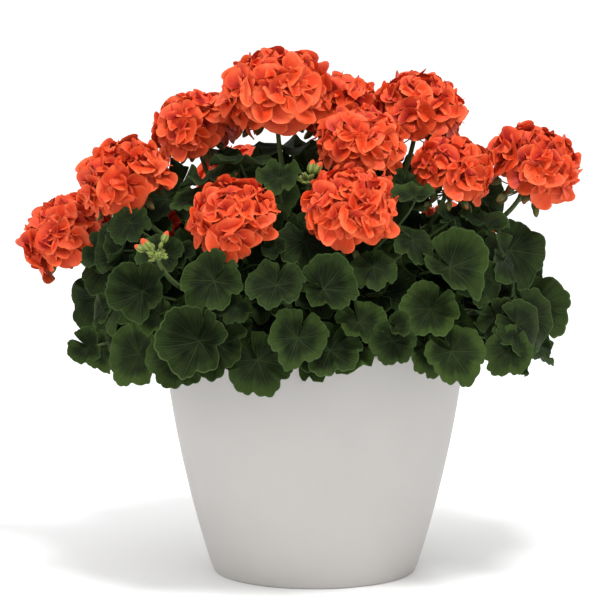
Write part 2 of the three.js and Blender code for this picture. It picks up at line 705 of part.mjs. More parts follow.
function buildPlant() {
  const plant = new THREE.Group();
  const potSolid = pot();
  const mixSolid = mix();
  plant.add(named("pot", potSolid, POT_WHITE), named("potting_mix", mixSolid, MIX_BROWN));

  const shoots = SHOOTS.map((shoot) => {
    const lines = shootLines(shoot);
    return { ...shoot, lines, leaves: [] };
  });
  const budSprays = shoots.map((shoot) => budSpray(shoot, shoot.lines));
  const inBloom = shoots.filter((shoot) => shoot.radius > 0);
  const roomForHeads = inBloom.map((shoot) => obstacle(flowerHead(shoot, shoot.lines, ROOM.head)));
  const roomForBuds = budSprays.flat().map((spray) => obstacle(spray));
  growLeaves(shoots, [obstacle(potSolid), obstacle(mixSolid), ...roomForHeads, ...roomForBuds]);

  shoots.forEach((shoot, i) => {
    const green = joined([stemAndStalk(shoot.lines), ...budSprays[i], ...shoot.leaves]);
    plant.add(named("shoot_" + shoot.name, green, LEAF_GREEN));
  });
  for (const shoot of inBloom) {
    plant.add(named("bloom_" + shoot.name, flowerHead(shoot, shoot.lines), PETAL_ORANGE));
  }
  return plant;
}

export default buildPlant();
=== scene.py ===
"""A potted zonal geranium in full flower.

The solid plant and planter are the frame. Each piece is made in millimetres from the same few dimensions, or
read from the frame, and stands where its solid stands, in metres with +Z up.
"""

import math
from collections import namedtuple

import bmesh
import bpy
import numpy as np
from bpy.props import FloatProperty, FloatVectorProperty, IntProperty, PointerProperty
from mathutils import Matrix, Vector


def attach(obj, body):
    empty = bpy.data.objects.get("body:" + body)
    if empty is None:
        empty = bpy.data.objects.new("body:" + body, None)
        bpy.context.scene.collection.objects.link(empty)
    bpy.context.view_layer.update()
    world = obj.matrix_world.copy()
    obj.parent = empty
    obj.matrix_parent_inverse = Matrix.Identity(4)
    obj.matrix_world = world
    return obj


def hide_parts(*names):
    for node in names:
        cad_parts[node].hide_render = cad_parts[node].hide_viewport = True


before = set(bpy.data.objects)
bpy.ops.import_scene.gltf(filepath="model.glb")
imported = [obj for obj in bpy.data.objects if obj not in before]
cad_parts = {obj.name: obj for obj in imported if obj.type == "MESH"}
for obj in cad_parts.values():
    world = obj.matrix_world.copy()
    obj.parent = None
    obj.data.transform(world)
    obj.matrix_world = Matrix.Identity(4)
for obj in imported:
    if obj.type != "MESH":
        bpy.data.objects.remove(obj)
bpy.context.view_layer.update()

bl_info = {
    "name": "Potted Zonal Geranium",
    "version": (1, 0, 0),
    "blender": (4, 5, 0),
    "location": "View3D > Sidebar > Geranium",
    "description": "Dresses a potted zonal geranium: planter, potting mix, leafy shoots and flower heads",
    "category": "Add Mesh",
}

MM = 0.001
DEGREE = math.pi / 180
FULL_TURN = 2 * math.pi
UP = np.array([0.0, 0.0, 1.0])
LEVEL = np.array([1, 1, 0])
SEEN_FROM = 10.8 * DEGREE

# Steps that spread any number of places evenly: round a circle, and along a line
GOLDEN_TURN = math.pi * (3 - math.sqrt(5))
GOLDEN_STEP, EVEN_STEP = 0.6180339887, 0.7548776662

# The planter's height, its outer radius at the base, at the handle of its curve and at the rim, the sizes of
# its section, and how round its foot, its rim and the inside of its lip are
POT_HEIGHT, POT_RADII = 244.0, (101.0, 140.6, 152.0)
POT_WALL, POT_LIP, POT_FLOOR = 5.0, 9.0, 6.0
POT_ROUNDS = (3.0, 2.2, 1.6)

# The mix: its height at the edge and its crown's rise, how far its side and its top's edge keep inside the
# planter's outer wall, and the height and size of its lumps
MIX_TOP, MIX_CROWN = 218.0, 5.0
MIX_SIDE, MIX_EDGE = 6.7, 6.8
MIX_LUMPS = ((1.3, 9.0), (0.9, 4.3), (0.6, 2.1))

# Stems and stalks: how high over the mix a stem's curve begins, how far it goes towards its head, across and
# up, its radii, how far a stalk runs straight at its two ends, in its span, and how it meets its head
STEM_FOOT, STEM_REACH, STEM_RISE, STEM_RADIUS, STEM_TIP_RADIUS = 2.0, 0.38, 0.5, 5.0, 3.6
STALK_START, STALK_END = 0.3, 0.35
HEAD_SEAT, NECK, GAP = 0.42, 6.0, 0.3

# How far round from its top a head carries florets, how much it is flattened along its stalk, and a common
# head's radius, its number of florets and their size in its radius
HEAD_OPEN, FLATNESS = 104 * DEGREE, 0.73
COMMON_HEAD, COMMON_FLORETS, FLORET_SIZE = 48, 19, 0.5

# A leaf blade's outline: seven lobes, each turned from the last, and the sinus behind the hub
LOBES, LOBE_TURN = 7, 55 * DEGREE
NOTCH, SINUS, CUP, PLEAT = 0.87, 0.18, 0.16, 0.07

# The mound that the leaves cover, and how far to the side a leaf may stand
MOUND_CENTRE, MOUND_SIZE = 250.0, (232.0, 200.0, 178.0)
FARTHEST_ACROSS = 226

# The slots of a shoot's finishes; a flower head's stalks have the same slot
STALK, BUD = 1, 2

Shoot = namedtuple("Shoot", "name base head radius buds")

# Each shoot: its stem's place in the mix, its head's centre as seen from the front (across, up and depth),
# the head's radius and its number of buds. A head of radius 0 is a cluster of young buds.
SHOOTS = [
    Shoot("top", (-14, 0), (-39, 474, 2), 56, 2),
    Shoot("upper_left", (-44, 22), (-119, 442, 52), 45, 3),
    Shoot("behind_top", (8, 46), (24, 462, 94), 43, 2),
    Shoot("centre_right", (20, -14), (45, 425, -48), 46, 2),
    Shoot("upper_right", (42, 20), (104, 459, 50), 47, 2),
    Shoot("mid_right", (56, -16), (136, 398, -36), 42, 5),
    Shoot("far_right", (84, 6), (219, 405, 14), 48, 6),
    Shoot("left", (-64, -8), (-189, 391, -14), 47, 3),
    Shoot("far_left", (-88, 14), (-249, 335, 44), 47, 3),
    Shoot("front_left", (-30, -46), (-81, 350, -128), 46, 2),
    Shoot("front_centre", (12, -58), (34, 360, -138), 49, 3),
    Shoot("young_left", (-60, -52), (-155, 311, -150), 0, 11),
    Shoot("young_centre", (-8, -30), (-6, 384, -84), 0, 5),
    Shoot("back_left", (-28, 62), (-78, 388, 152), 45, 2),
    Shoot("back_right", (34, 66), (58, 372, 176), 45, 2),
    Shoot("back_far_right", (70, 48), (140, 330, 136), 44, 3),
    Shoot("back_far_left", (-72, 52), (-152, 322, 122), 44, 2),
]

# Leaves that hang in front of the rim: their middle as seen from the front (across and up), radius and roll
HANGING_LEAVES = [
    (140, 210, 33, 0.5),
    (190, 216, 27, -0.7),
    (206, 238, 30, 0.8),
    (74, 222, 24, -0.4),
    (-98, 216, 36, 0.1),
    (-220, 219, 20, 1.2),
]

# The lamps: place, target, width and power
LAMPS = {
    "overhead": ((0, 0.5, 6.0), (0, 0.5, 0), 17.0, 385.0),
    "key": ((0.5, -1.6, 3.6), (0, 0, 0.3), 1.0, 92.0),
    "front": ((0.9, -3.4, 0.9), (0, 0, 0.2), 2.0, 9.0),
    "left": ((-2.6, -1.4, 1.6), (0, 0, 0.3), 1.6, 12.0),
}


# Settings


def colour(name, description, value):
    return FloatVectorProperty(
        name=name, description=description, subtype="COLOR", size=3, min=0, max=1, default=value
    )


def metres(name, description, value):
    return FloatProperty(name=name, description=description, default=value, unit="LENGTH")


def number(name, description, value):
    return IntProperty(name=name, description=description, default=value, min=0)


class GeraniumPlanterSettings(bpy.types.PropertyGroup):
    """The planter and what fills it."""

    plastic: colour("Plastic", "Colour of the planter's plastic", (0.475, 0.458, 0.442))
    dust: colour("Dust", "Colour of the dust at the planter's foot", (0.42, 0.39, 0.34))
    shine: FloatProperty(
        name="Roughness", description="How dull the plastic is", default=0.45, min=0, max=1, subtype="FACTOR"
    )
    mix: colour("Potting mix", "Colour of the moist potting mix", (0.022, 0.014, 0.009))
    bark: colour("Bark", "Colour of the palest bark crumbs", (0.085, 0.052, 0.030))
    crumb: metres("Crumb size", "Size of the bark crumbs in the mix", 4.5 * MM)
    crumbs: number("Crumbs", "How many crumbs lie on the mix", 420)


class GeraniumLeafSettings(bpy.types.PropertyGroup):
    """The leaves, stems and stalks."""

    # The leaf greens run from the darkest to the brightest by each leaf's age and its painted light and
    # shade.
    dark_green: colour("Old leaf", "Colour of the darkest leaves", (0.0040, 0.0070, 0.0030))
    bright_green: colour("Young leaf", "Colour of the brightest leaves", (0.051, 0.089, 0.017))
    vein: colour("Vein", "Colour of the veins", (0.062, 0.105, 0.030))
    back: colour("Back", "Colour of the underside", (0.050, 0.085, 0.032))
    stalk: colour("Stalk", "Colour of petioles and flower stalks", (0.085, 0.135, 0.034))
    wood: colour("Stem", "Colour of the older stem", (0.075, 0.085, 0.030))
    small_leaves: number("Small leaves", "Smaller leaves among the mound's outer ones", 80)
    shoulder_leaves: number("Shoulder leaves", "Leaves that face up, under the outer ones", 140)
    deep_leaves: number("Deep leaves", "Leaves in the mound's inside", 190)
    thickness: metres("Thickness", "Thickness of a blade", 0.9 * MM)


class GeraniumFlowerSettings(bpy.types.PropertyGroup):
    """The flower heads and their buds."""

    petal: colour("Petal", "Colour of the open petals", (0.73, 0.066, 0.013))
    throat: colour("Throat", "Colour at the petals' foot", (0.35, 0.010, 0.014))
    edge: colour("Edge", "Colour of the petals' thin edge", (0.86, 0.165, 0.055))
    bud: colour("Bud", "Colour of the green buds", (0.215, 0.275, 0.055))
    old_bud: colour("Old bud", "Colour of the buds that hang below a head", (0.075, 0.062, 0.018))
    florets: IntProperty(
        name="Florets",
        description="Florets on a head of common size",
        default=COMMON_FLORETS,
        min=6,
        max=60,
    )


class GeraniumStageSettings(bpy.types.PropertyGroup):
    """The camera, the lamps and the floor."""

    distance: metres("Distance", "Camera distance", 12.0)
    frame_width: metres("Frame width", "Width that the picture spans at the planter", 0.6)
    aim_across: metres("Aim across", "Picture centre, right of the planter's axis", -0.0145)
    aim_up: metres("Aim up", "Picture centre, above the base as seen", 0.2683)
    floor: colour("Floor", "Colour of the pale floor", (0.95, 0.95, 0.95))


# Small sums


def unit(vector):
    return vector / np.linalg.norm(vector, axis=-1, keepdims=True)


def lerp(start, end, share):
    return start + (end - start) * share


def even_turns(count):
    return np.arange(count) * FULL_TURN / count


def seen(across, up, depth):
    """A point's place from where it is seen in the picture, and its depth behind the planter's axis."""
    return np.array([across, depth, (up - depth * math.sin(SEEN_FROM)) / math.cos(SEEN_FROM)])


def seeded_draw(seed):
    """The same repeatable numbers from 0 to 1 as the solids' buds were drawn with."""
    state = seed

    def wrapped(a, b):
        return (a * b) & 0xFFFFFFFF

    def draw():
        nonlocal state
        state = (state + 0x6D2B79F5) & 0xFFFFFFFF
        mixed = wrapped(state ^ (state >> 15), 1 | state)
        mixed = ((mixed + wrapped(mixed ^ (mixed >> 7), 61 | mixed)) & 0xFFFFFFFF) ^ mixed
        return (mixed ^ (mixed >> 14)) / 4294967296

    return draw


def across_axes(direction):
    """Two unit vectors across a direction."""
    side = unit(np.array([1.0, 0.0, 0.0]) - direction * direction[0])
    return side, np.cross(direction, side)


def away_from(axis, tilt, turn):
    side, other = across_axes(axis)
    return axis * math.cos(tilt) + (side * math.cos(turn) + other * math.sin(turn)) * math.sin(tilt)


def bezier(corners, shares):
    """Points along a Bezier curve, by going the same share of the way between its corners, and again."""
    rows = [np.asarray(corner, float)[None] for corner in corners]
    shares = np.asarray(shares)[:, None]
    while len(rows) > 1:
        rows = [lerp(a, b, shares) for a, b in zip(rows, rows[1:])]
    return rows[0]


def pot_radius(height):
    share = height / POT_HEIGHT
    base, handle, rim = POT_RADII
    return (1 - share) ** 2 * base + 2 * share * (1 - share) * handle + share**2 * rim


# Putting a piece's surface together


def grid_faces(rows, columns, closed=False):
    """Quads between the rows of a grid of points, which may close on itself round the columns."""
    row = np.arange(rows - 1)[:, None] * columns
    column = np.arange(columns if closed else columns - 1)
    start, across = row + column, row + (column + 1) % columns
    return np.stack([start, across, across + columns, start + columns], -1).reshape(-1, 4)


def linked(name, data):
    """A new object, put in the scene."""
    thing = bpy.data.objects.new(name, data)
    bpy.context.scene.collection.objects.link(thing)
    return thing


class Skin:
    """The points, faces and maps of one piece, gathered patch by patch."""

    def __init__(self):
        self.points, self.faces, self.maps, self.tints = [], [], [], []
        self.count = 0

    def add(self, points, faces, places=(0.0, 0.0), tint=(0.0, 0.0, 0.0), slot=0):
        points = np.asarray(points, float).reshape(-1, 3)
        self.points.append(points)
        self.faces.append((np.asarray(faces) + self.count, slot))
        self.maps.append(np.broadcast_to(np.asarray(places, float).reshape(-1, 2), (len(points), 2)))
        self.tints.append(np.broadcast_to(np.asarray(tint, float).reshape(-1, 3), (len(points), 3)))
        self.count += len(points)

    def add_patches(self, points, faces, places, tints):
        """Adds patches of the same grid: each one's points, one map for all, and a tint for each."""
        points = points.reshape(len(points), -1, 3)
        patches, size = points.shape[:2]
        offsets = (np.arange(patches) * size)[:, None, None]
        faces = (np.asarray(faces)[None] + offsets).reshape(-1, np.shape(faces)[-1])
        places = np.broadcast_to(places, (patches, size, 2))
        self.add(points, faces, places, np.repeat(tints, size, axis=0))

    def build(self, name, materials):
        """Makes the piece's object, in metres, with its map and its tint."""
        mesh = bpy.data.meshes.new(name)
        corners = np.concatenate([faces.reshape(-1) for faces, _ in self.faces])
        sizes = np.concatenate([np.full(len(faces), faces.shape[1]) for faces, _ in self.faces])
        slots = np.concatenate([np.full(len(faces), slot) for faces, slot in self.faces])
        points = np.concatenate(self.points) * MM
        mesh.vertices.add(len(points))
        mesh.vertices.foreach_set("co", points.ravel())
        mesh.loops.add(len(corners))
        mesh.loops.foreach_set("vertex_index", corners)
        mesh.polygons.add(len(sizes))
        mesh.polygons.foreach_set("loop_start", np.concatenate([[0], np.cumsum(sizes)[:-1]]))
        mesh.polygons.foreach_set("loop_total", sizes)
        mesh.polygons.foreach_set("material_index", slots)
        mesh.polygons.foreach_set("use_smooth", np.ones(len(sizes), bool))
        chart = mesh.uv_layers.new(name="Chart")
        chart.data.foreach_set("uv", np.concatenate(self.maps)[corners].ravel())
        tint = mesh.color_attributes.new("Tint", "FLOAT_COLOR", "POINT")
        tints = np.concatenate([np.concatenate(self.tints), np.ones((len(points), 1))], axis=1)
        tint.data.foreach_set("color", tints.ravel())
        mesh.update()
        mesh.validate()
        for material in materials:
            mesh.materials.append(material)
        return linked(name, mesh)


def turned(profile, segments):
    """Rings of points from a profile of radii and heights, turned about the planter's axis."""
    profile, turns = np.array(profile), even_turns(segments)
    x, y = profile[:, :1] * np.cos(turns), profile[:, :1] * np.sin(turns)
    return np.stack(np.broadcast_arrays(x, y, profile[:, 1:]), -1)


def tube_points(line, radii, sides):
    """Rings of points round a line, each square to it and carried along so that they don't twist."""
    along = unit(np.gradient(line, axis=0))
    turns = even_turns(sides)
    side = across_axes(along[0])[0] if abs(along[0][0]) < 0.95 else unit(np.cross(along[0], UP))
    rings = []
    for point, heading, radius in zip(line, along, radii):
        side = unit(side - heading * side.dot(heading))
        other = np.cross(heading, side)
        rings.append(point + radius * (np.outer(np.cos(turns), side) + np.outer(np.sin(turns), other)))
    return np.array(rings)


def add_rings(skin, rings, tint, slot):
    """Adds a tube from its rings of points, with its length and its turns as its map."""
    rows, sides = rings.shape[:2]
    places = np.stack(np.meshgrid(np.linspace(0, 1, rows), np.arange(sides) / sides, indexing="ij"), -1)
    skin.add(rings, grid_faces(rows, sides, closed=True), places, tint, slot)


def add_stalk(skin, line, radii, sides, tint):
    add_rings(skin, tube_points(line, radii, sides), tint, STALK)


def stand_for(piece, slot, *nodes):
    """The piece rides on the plant's one body and stands for the nodes; the slot is not used."""
    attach(piece, "root")
    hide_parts(*nodes)


# Finishes


class Value:
    """A number or a colour that a finish's nodes work out, for use in sums as any number is."""

    def __init__(self, finish, socket):
        self.finish, self.socket = finish, socket

    def of(self, operation, *others):
        return self.finish.node("Math", dict(enumerate((self, *others))), operation=operation)

    def __add__(self, other):
        return self.of("ADD", other)

    def __sub__(self, other):
        return self.of("SUBTRACT", other)

    def __mul__(self, other):
        return self.of("MULTIPLY", other)

    def __truediv__(self, other):
        return self.of("DIVIDE", other)

    def ramp(self, low, high):
        """0 where the value is at or below low, 1 at or above high."""
        inputs = {"Value": self, "From Min": low, "From Max": high}
        return self.finish.node("MapRange", inputs, interpolation_type="SMOOTHSTEP")


class Finish:
    """One material's nodes, joined up by short calls."""

    def __init__(self, name, **sockets):
        self.material = bpy.data.materials.new(name)
        self.material.use_nodes = True
        self.tree = self.material.node_tree
        self.shader = self.tree.nodes["Principled BSDF"]
        for socket, value in sockets.items():
            self.put(self.shader.inputs[socket.replace("_", " ")], value)

    def put(self, socket, value):
        if isinstance(value, Value):
            self.tree.links.new(value.socket, socket)
        elif socket.type == "RGBA" and len(value) == 3:
            socket.default_value = (*value, 1.0)
        else:
            socket.default_value = value

    def node(self, kind, inputs, output=0, **settings):
        """Adds a node, sets or joins its inputs, and gives one of its outputs."""
        node = self.tree.nodes.new("ShaderNode" + kind)
        for key, value in settings.items():
            setattr(node, key, value)
        for key, value in inputs.items():
            self.put(node.inputs[key], value)
        return Value(self, node.outputs[output])

    def blend(self, share, first, second):
        """A colour that goes from the first, at a share of 0, to the second, at 1."""
        return self.node("Mix", {0: share, 6: first, 7: second}, 2, data_type="RGBA")

    def noise(self, scale, detail, place, roughness=0.5):
        inputs = {"Scale": scale, "Detail": detail, "Roughness": roughness, "Vector": place}
        return self.node("TexNoise", inputs, "Fac")

    def place(self):
        return self.node("TexCoord", {}, "Object")

    def split(self, kind, value):
        """The numbers in a vector (kind XYZ) or a colour (kind Color)."""
        first = self.node("Separate" + kind, {0: value})
        return [Value(self, output) for output in first.socket.node.outputs]

    def chart(self):
        return self.split("XYZ", self.node("UVMap", {}, uv_map="Chart"))[:2]

    def tint(self):
        return self.split("Color", self.node("Attribute", {}, "Color", attribute_name="Tint"))

    def made(self, base, roughness, relief=None, depth=0.0, strength=0.0):
        """The material, once it has its colour, its roughness and its relief."""
        self.put(self.shader.inputs["Base Color"], base)
        self.put(self.shader.inputs["Roughness"], roughness)
        if relief is not None:
            bump = self.node("Bump", {"Height": relief, "Distance": depth, "Strength": strength})
            self.put(self.shader.inputs["Normal"], bump)
        return self.material


def scaled(base, share):
    return tuple(share * part for part in base)


def leaf_finish(settings):
    """Dark matt green with a darker zone, a fresher margin, and veins that fan from the hub and fork."""
    finish = Finish("leaf_green", Specular_IOR_Level=0.07)
    turn, share = finish.chart()
    age_and_painted_light, is_back, draw = finish.tint()
    turn = (turn - 0.5) * FULL_TURN
    x, y = share * turn.of("COSINE"), share * turn.of("SINE")
    spread = finish.node("CombineXYZ", {"X": x, "Y": y, "Z": draw * 40.0})
    mottle = finish.noise(2.6, 4.0, spread)

    def fan(spacing, offset, width, start):
        """Lines from the hub, one each spacing, that show from a share of the way out."""
        at = turn / spacing + offset
        off = (at - at.of("ROUND")).of("ABSOLUTE") * spacing
        line = (share * off).ramp(width, 0.25 * width)
        return line * share.ramp(start, start + 0.15) if start else line

    main_vein = fan(LOBE_TURN, 0.0, 0.022, 0)
    forks = fan(LOBE_TURN / 3, 0.5, 0.020, 0.22).of("MAXIMUM", fan(LOBE_TURN / 6, 0.5, 0.016, 0.5))
    net = finish.node("TexVoronoi", {"Vector": spread, "Scale": 17.0}, "Distance", feature="DISTANCE_TO_EDGE")
    lines = (main_vein * 0.38).of("MAXIMUM", forks * 0.2).of("MAXIMUM", net.ramp(0.09, 0.0) * 0.13)

    wobbly = share + (mottle - 0.5) * 0.3
    margin = wobbly.ramp(0.4, 1.0) * 0.78 + 0.22
    zone = wobbly.ramp(0.3, 0.5) * wobbly.ramp(0.8, 0.6)
    # The tint's first number is the leaf's age mixed with painted light and shade, and it sets how dark the
    # green is.
    tone = (age_and_painted_light * 0.8 + 0.2) * margin + (mottle - 0.5) * 0.4
    green = finish.blend(tone, settings.dark_green, settings.bright_green)
    green = finish.blend(zone * 0.35, green, scaled(settings.dark_green, 0.6))
    rim = share.ramp(0.95, 0.985) * (draw * 0.95 + 0.35)
    face = finish.blend(lines.of("MAXIMUM", rim) * 0.65, green, settings.vein)
    back = finish.blend(lines * 0.8, settings.back, settings.vein)
    relief = net.ramp(0.0, 0.35) * 0.3 - (main_vein + forks * 0.6)
    return finish.made(finish.blend(is_back, face, back), mottle * 0.3 + 0.5, relief, 0.6 * MM, 0.9)


def petal_finish(settings):
    """Bright orange, redder at the foot and paler at the thin edge, with faint fanning veins."""
    finish = Finish(
        "petal_orange",
        Specular_IOR_Level=0.2,
        Sheen_Weight=0.05,
        Sheen_Roughness=0.4,
        Sheen_Tint=(1.0, 0.6, 0.45),
        Subsurface_Weight=0.15,
        Subsurface_Scale=1.6 * MM,
        Subsurface_Radius=(1.0, 0.22, 0.05),
    )
    u, v = finish.chart()
    draw, inner, floret = finish.tint()
    edge = ((u - 0.5).of("ABSOLUTE") * 2.0).of("MAXIMUM", v).ramp(0.72, 1.0)
    streak = finish.noise(1.0, 2.0, finish.node("CombineXYZ", {"X": u * 17.0, "Y": v, "Z": draw * 30.0}))
    upper = draw.ramp(0.3, 0.9) * v.ramp(1.05, 0.45)
    deep = upper * 0.9 + floret * 0.14 + inner * 0.15
    tone = v.ramp(0.5, 0.05) + (streak - 0.5) * 0.45 + deep
    body = finish.blend(tone, settings.petal, settings.throat)
    base = finish.blend(edge * (draw * -0.5 + 0.75), body, settings.edge)
    return finish.made(base, streak * 0.2 + 0.42, streak, 0.5 * MM, 0.5)


def stalk_finish(settings):
    """Green stalks with short hairs, brown and ringed where the stem is old, and painted darker as shade
    inside the mound.
    """
    finish = Finish(
        "stalk_green",
        Specular_IOR_Level=0.25,
        Sheen_Weight=0.08,
        Sheen_Roughness=0.5,
        Sheen_Tint=(0.85, 0.95, 0.75),
    )
    old, painted_shade, _ = finish.tint()
    grain = finish.noise(240.0, 4.0, finish.place())
    green = finish.blend(grain * 0.4, settings.stalk, scaled(settings.stalk, 0.6))
    # Painted shade: the tint's second number darkens the stalk towards the darkest leaf green.
    green = finish.blend(painted_shade * 0.7, green, settings.dark_green)
    base = finish.blend(old * grain.ramp(0.3, 0.6), green, settings.wood)
    return finish.made(base, grain * 0.3 + 0.4, grain, 0.4 * MM, 0.6)


def bud_finish(settings):
    """A green calyx with five pale ribs, and petals that show orange at the tip."""
    finish = Finish(
        "bud_green",
        Specular_IOR_Level=0.25,
        Sheen_Weight=0.1,
        Sheen_Roughness=0.5,
        Sheen_Tint=(0.9, 1.0, 0.8),
    )
    along, turn = finish.chart()
    ripe, hanging, _ = finish.tint()
    rib = (turn * (5 * math.pi)).of("SINE").of("ABSOLUTE")
    grain = finish.noise(300.0, 3.0, finish.place())
    green = finish.blend(rib.ramp(0.2, 0.9), scaled(settings.bud, 0.5), settings.bud)
    green = finish.blend(hanging * 0.75, green, settings.old_bud)
    opened = (along + (rib - 0.5) * 0.16).ramp(0.56, 0.68)
    base = finish.blend(opened * ripe, green, settings.petal)
    return finish.made(base, grain * 0.25 + 0.45, rib + grain, 0.3 * MM, 0.5)


def planter_finish(settings):
    """Off-white moulded plastic: satin, a little cloudy, and dustier towards the foot."""
    finish = Finish("planter_plastic", Specular_IOR_Level=0.45)
    place = finish.place()
    cloud = finish.noise(7.0, 5.0, place, 0.6)
    low = finish.split("XYZ", place)[2].ramp(0.05, 0.0)
    plastic = finish.blend(cloud.ramp(0.35, 0.7), settings.plastic, scaled(settings.plastic, 0.965))
    base = finish.blend(low * cloud * 0.15, plastic, settings.dust)
    return finish.made(base, cloud * 0.16 + settings.shine, finish.noise(900.0, 2.0, place), 0.06 * MM, 0.35)


def mix_finish(settings):
    """Dark moist mix, mottled with lighter fibres."""
    finish = Finish("potting_mix", Specular_IOR_Level=0.25)
    grain = finish.noise(420.0, 6.0, finish.place(), 0.7)
    draw, _, _ = finish.tint()
    soil = finish.blend(grain.ramp(0.4, 0.75), settings.mix, scaled(settings.mix, 3.2))
    base = finish.blend(draw * 0.6, soil, settings.bark)
    return finish.made(base, grain * 0.25 + 0.7, grain, 1.2 * MM, 0.9)


def floor_finish(settings):
    finish = Finish("pale_floor", Specular_IOR_Level=0.1)
    cloud = finish.noise(1.5, 2.0, finish.place())
    return finish.made(finish.blend(cloud, settings.floor, scaled(settings.floor, 0.985)), 0.9)


def finish_of(name, maker, settings):
    """A finish is made once and shared."""
    return bpy.data.materials.get(name) or maker(settings)


# Shoots: their lines, as the solids have them


class Lines:
    """A shoot's stem and stalk, from the mix to the seat under its head."""

    def __init__(self, shoot):
        self.base = np.array([*shoot.base, MIX_TOP + MIX_CROWN + STEM_FOOT])
        self.head = seen(*shoot.head)
        across = lerp(self.base[:2], self.head[:2], STEM_REACH)
        self.tip = np.array([*across, lerp(self.base[2], self.head[2], STEM_RISE)])
        self.axis = unit(unit(self.head - self.tip) + UP)
        self.seat = self.head - self.axis * (HEAD_SEAT * shoot.radius + GAP)
        lean = np.array([*self.base[:2], lerp(self.base[2], self.tip[2], 0.5)])
        self.stem = (self.base, lean, self.tip)
        span = np.linalg.norm(self.seat - self.tip)
        self.neck = self.seat - self.axis * NECK
        onward = self.tip + unit(self.tip - lean) * STALK_START * span
        self.stalk = (self.tip, onward, self.neck - self.axis * STALK_END * span, self.neck)


def clears_rim(line):
    """True if a line goes over the planter's rim, and not through its wall."""
    rim = POT_RADII[2]
    out = np.hypot(line[:, 0], line[:, 1])
    heights = np.interp(rim + 3 - np.array([0.0, 5.0, 10.0, 16.0]), out, line[:, 2])
    return out[-1] < rim - 16 or heights.min() > POT_HEIGHT + 3


def petiole_line(blade, lines):
    """From the stem, at a height that follows the blade's, up and over to the hub's back."""
    hub, normal = blade.hub, blade.normal
    twist, ruffled = blade.shape[5], blade.shape[7]
    risen = 0.6 * (hub[2] - MIX_TOP) / (lines.tip[2] - MIX_TOP + 60)
    start = bezier(lines.stem, [np.clip(0.25 + risen, 0.3, 0.97)])[0]
    end = hub - normal * 1.2
    reach = np.linalg.norm(end - start)
    sway = np.cross(UP, normal) * 0.5 * (twist - 0.5)
    bend = end + (UP * (0.06 + 0.16 * ruffled) - normal * 0.36 + sway) * reach
    for lift in range(0, 110, 10):
        line = bezier((start, bend + UP * lift, end), np.linspace(0, 1, 9))
        if clears_rim(line):
            break
    return line


# Leaves


def blade_corners():
    """The blade's ring of points in its solid, in radii: x to the tip, y across and z off the face."""
    ring = [(-SINUS, 0.0, 0.04)]
    half = (LOBES - 1) // 2
    for lobe in range(-half, half + 1):
        turn = lobe * LOBE_TURN
        reach = 1.12 - 0.3 * abs(turn / math.pi)
        ring.append((reach * math.cos(turn), reach * math.sin(turn), CUP * reach))
        if lobe < half:
            turn += LOBE_TURN / 2
            ring.append((reach * NOTCH * math.cos(turn), reach * NOTCH * math.sin(turn), CUP + PLEAT))
    return np.array(ring)


# A blade's frame, its radius in millimetres, and the draws from 0 to 1 that make its shape its own
Blade = namedtuple("Blade", "hub tip side normal radius shape")
DRAWS = 12


def ring_round(hub):
    """The corners round a hub in their order, from the nearest one, which is the sinus."""
    onward = {}
    for face in hub.link_faces:
        order = [corner.vert for corner in face.loops]
        at = order.index(hub)
        onward[order[(at + 1) % 3]] = order[(at + 2) % 3]
    ring = [min(onward, key=lambda vert: (vert.co - hub.co).length)]
    while onward.get(ring[-1]) not in (None, ring[0]):
        ring.append(onward[ring[-1]])
    return ring


def blades_of(node, generator):
    """Reads each leaf blade of a shoot's solid: the blade is the fan of faces round its hub."""
    solid = bmesh.new()
    solid.from_mesh(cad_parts[node].data)
    bmesh.ops.remove_doubles(solid, verts=solid.verts, dist=0.005 * MM)
    corners = blade_corners()
    blades = []
    for hub in solid.verts:
        if not len(hub.link_edges) == len(hub.link_faces) == len(corners):
            continue
        ring = ring_round(hub)
        if len(ring) != len(corners):
            continue
        spokes = np.array([vert.co - hub.co for vert in ring]) / MM
        fitted, *_ = np.linalg.lstsq(corners, spokes, rcond=None)
        if np.abs(corners @ fitted - spokes).max() > 0.6:
            continue
        tip, side = unit(fitted[0]), unit(fitted[1])
        radius, shape = np.linalg.norm(fitted[0]), generator.random(DRAWS)
        blades.append(Blade(np.array(hub.co) / MM, tip, side, np.cross(tip, side), radius, shape))
    solid.free()
    return blades


def blade_outline(turns):
    """How far the edge is from the hub, in radii, with rounded lobes, small teeth and the sinus."""
    lobe = np.abs(np.cos(math.pi * turns / LOBE_TURN))
    tooth = np.abs(np.cos(math.pi * turns / (LOBE_TURN / 3)))
    reach = 1.13 - 0.37 * np.abs(turns / math.pi) ** 1.5
    rounded = reach * (1 - (1 - NOTCH) * (1 - lobe**0.8)) * (1 - 0.05 * (1 - tooth**0.8))
    closing = np.clip((np.abs(turns) - 168 * DEGREE) / (12 * DEGREE), 0, 1) ** 2
    return lerp(rounded, SINUS, closing)


